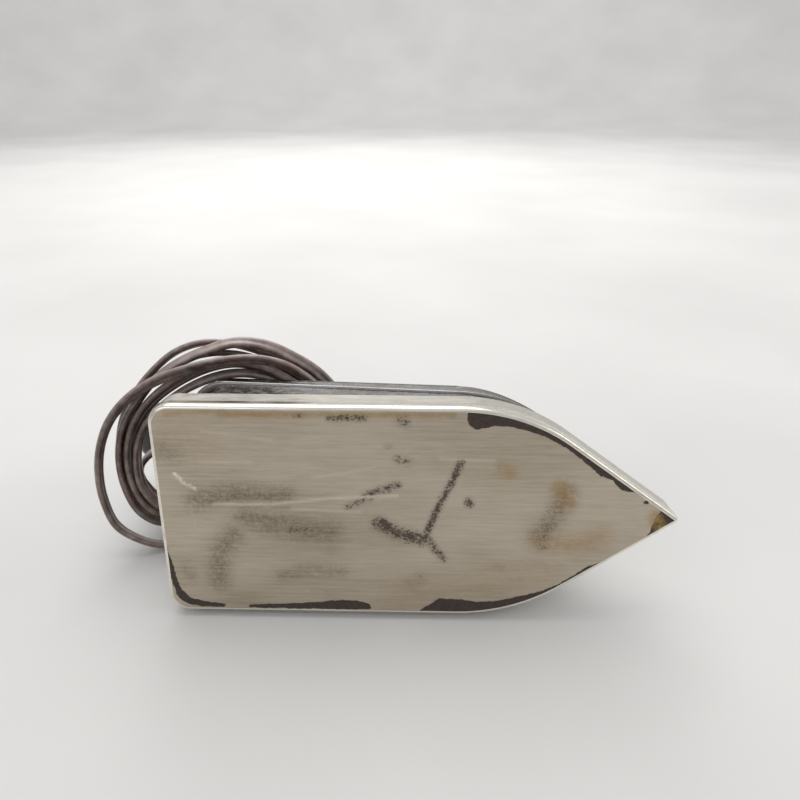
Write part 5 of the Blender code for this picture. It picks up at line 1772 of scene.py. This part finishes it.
def make_stage(context):
    """A wide pale floor that curves up all round, soft lights above and behind, two fills, and the camera."""
    level = sizes().ground_level
    profile = [(0.0, level), (2.4, level)]
    for step in range(1, 13):
        angle = 0.5 * math.pi * step / 12
        profile.append((2.4 + 0.9 * math.sin(angle), level + 0.9 * (1 - math.cos(angle))))
    profile.append((3.3, level + 1.4))
    work = bmesh.new()
    points = [work.verts.new((radius, 0, height)) for radius, height in profile]
    edges = [work.edges.new(pair) for pair in zip(points, points[1:])]
    bmesh.ops.spin(
        work, geom=points + edges, angle=2 * math.pi, steps=96, axis=(0, 0, 1), cent=(0, 0, 0), use_merge=True
    )
    bmesh.ops.remove_doubles(work, verts=work.verts, dist=1e-5)
    bmesh.ops.recalc_face_normals(work, faces=work.faces)
    bmesh.ops.reverse_faces(work, faces=work.faces)
    floor = finished("studio_floor", work, None, None, floor_material("#CFCECC"), 60)
    centre = (0, 0, 0.04)
    add_light("overhead", 1.5, 12, (-0.2, 0.45, 1.6), centre, (1.0, 0.985, 0.96))
    add_light("back", 1.3, 8, (-0.25, 1.5, 1.15), centre, (1.0, 0.985, 0.97))
    add_light("back_wash", 1.6, 16, (0, 1.3, 1.7), (0, 2.9, 0.35), (1.0, 0.99, 0.98))
    add_light("front_fill", 1.2, 2.5, (-0.9, -1.2, 0.9), centre, (0.96, 0.98, 1.0))
    add_light("side_fill", 0.9, 2, (1.3, 0.1, 0.7), centre, (1.0, 0.98, 0.96))
    world = bpy.data.worlds.new("studio")
    world.use_nodes = True
    backing = world.node_tree.nodes["Background"]
    backing.inputs["Color"].default_value = srgb("#E3E4E6")
    backing.inputs["Strength"].default_value = 0.84
    bpy.context.scene.world = world
    bpy.context.scene.view_settings.view_transform = "Standard"
    add_camera()


CAMERA_PLACE = (0.0975, -0.1239, -0.2199)
CAMERA_VIEW = (-0.0198, 0.3289, 0.9442)
CAMERA_UP = (-0.0104, -0.9444, 0.3288)
CAMERA_LENS = 29.25


def add_camera():
    view = Vector(CAMERA_VIEW).normalized()
    right = view.cross(Vector(CAMERA_UP)).normalized()
    up = right.cross(view)
    turn = Matrix((right, up, -view)).transposed().to_4x4()
    data = bpy.data.cameras.new("camera")
    data.lens = CAMERA_LENS
    data.sensor_width = 36
    data.clip_start = 0.01
    camera = bpy.data.objects.new("camera", data)
    bpy.context.scene.collection.objects.link(camera)
    camera.matrix_world = PLACE @ Matrix.Translation(CAMERA_PLACE) @ turn
    bpy.context.scene.camera = camera


# ---- Add-on ---------------------------------------------------------------------------------------
class FLATIRON_OT_plate(bpy.types.Operator):
    """Makes the worn ironing plate"""

    bl_idname = "flat_iron.plate"
    bl_label = "Ironing plate"

    def execute(self, context):
        make_plate(context)
        return {"FINISHED"}


class FLATIRON_OT_hood(bpy.types.Operator):
    """Makes the plated hood with its bead"""

    bl_idname = "flat_iron.hood"
    bl_label = "Hood"

    def execute(self, context):
        make_hood(context)
        return {"FINISHED"}


class FLATIRON_OT_handle(bpy.types.Operator):
    """Makes the moulded handle with its heel rest"""

    bl_idname = "flat_iron.handle"
    bl_label = "Handle"

    def execute(self, context):
        make_handle(context)
        return {"FINISHED"}


class FLATIRON_OT_nuts(bpy.types.Operator):
    """Makes the domed nuts and washers on the hood"""

    bl_idname = "flat_iron.nuts"
    bl_label = "Nuts and washers"

    def execute(self, context):
        make_nuts(context)
        return {"FINISHED"}


class FLATIRON_OT_dial(bpy.types.Operator):
    """Makes the heat dial, its pointer and its scale"""

    bl_idname = "flat_iron.dial"
    bl_label = "Heat dial"

    def execute(self, context):
        make_dial(context)
        return {"FINISHED"}


class FLATIRON_OT_sleeve(bpy.types.Operator):
    """Makes the ribbed rubber sleeve of the flex"""

    bl_idname = "flat_iron.sleeve"
    bl_label = "Flex sleeve"

    def execute(self, context):
        make_sleeve(context)
        return {"FINISHED"}


class FLATIRON_OT_plug(bpy.types.Operator):
    """Makes the two-pin plug"""

    bl_idname = "flat_iron.plug"
    bl_label = "Plug"

    def execute(self, context):
        make_plug(context)
        return {"FINISHED"}


class FLATIRON_OT_flex(bpy.types.Operator):
    """Makes the coiled twin flex from the sleeve to the plug"""

    bl_idname = "flat_iron.flex"
    bl_label = "Flex"

    def execute(self, context):
        make_flex(context)
        return {"FINISHED"}


class FLATIRON_OT_inner(bpy.types.Operator):
    """Gives the pieces inside the hood their finishes"""

    bl_idname = "flat_iron.inner"
    bl_label = "Inner pieces"

    def execute(self, context):
        make_inner(context)
        return {"FINISHED"}


class FLATIRON_OT_stage(bpy.types.Operator):
    """Makes the floor, the lights and the camera"""

    bl_idname = "flat_iron.stage"
    bl_label = "Stage"

    def execute(self, context):
        make_stage(context)
        return {"FINISHED"}


STEPS = ("stage", "plate", "hood", "handle", "nuts", "dial", "sleeve", "plug", "flex", "inner")


class FLATIRON_PT_pieces(bpy.types.Panel):
    """Lists the iron's pieces and settings"""

    bl_label = "Flat Iron"
    bl_idname = "FLATIRON_PT_pieces"
    bl_space_type = "VIEW_3D"
    bl_region_type = "UI"
    bl_category = "Flat Iron"

    def draw(self, context):
        for group in (context.scene.flat_iron_sizes, context.scene.flat_iron_colours):
            box = self.layout.box()
            for name in type(group).__annotations__:
                box.prop(group, name)
        for step in STEPS:
            self.layout.operator("flat_iron." + step)


CLASSES = (
    FlatIronColours,
    FlatIronSizes,
    FLATIRON_OT_plate,
    FLATIRON_OT_hood,
    FLATIRON_OT_handle,
    FLATIRON_OT_nuts,
    FLATIRON_OT_dial,
    FLATIRON_OT_sleeve,
    FLATIRON_OT_plug,
    FLATIRON_OT_flex,
    FLATIRON_OT_inner,
    FLATIRON_OT_stage,
    FLATIRON_PT_pieces,
)


def register():
    for item in CLASSES:
        bpy.utils.register_class(item)
    bpy.types.Scene.flat_iron_colours = bpy.props.PointerProperty(type=FlatIronColours)
    bpy.types.Scene.flat_iron_sizes = bpy.props.PointerProperty(type=FlatIronSizes)


def unregister():
    del bpy.types.Scene.flat_iron_sizes
    del bpy.types.Scene.flat_iron_colours
    for item in reversed(CLASSES):
        bpy.utils.unregister_class(item)


def main():
    register()
    for step in STEPS:
        getattr(bpy.ops.flat_iron, step)()


if __name__ == "__main__":
    main()
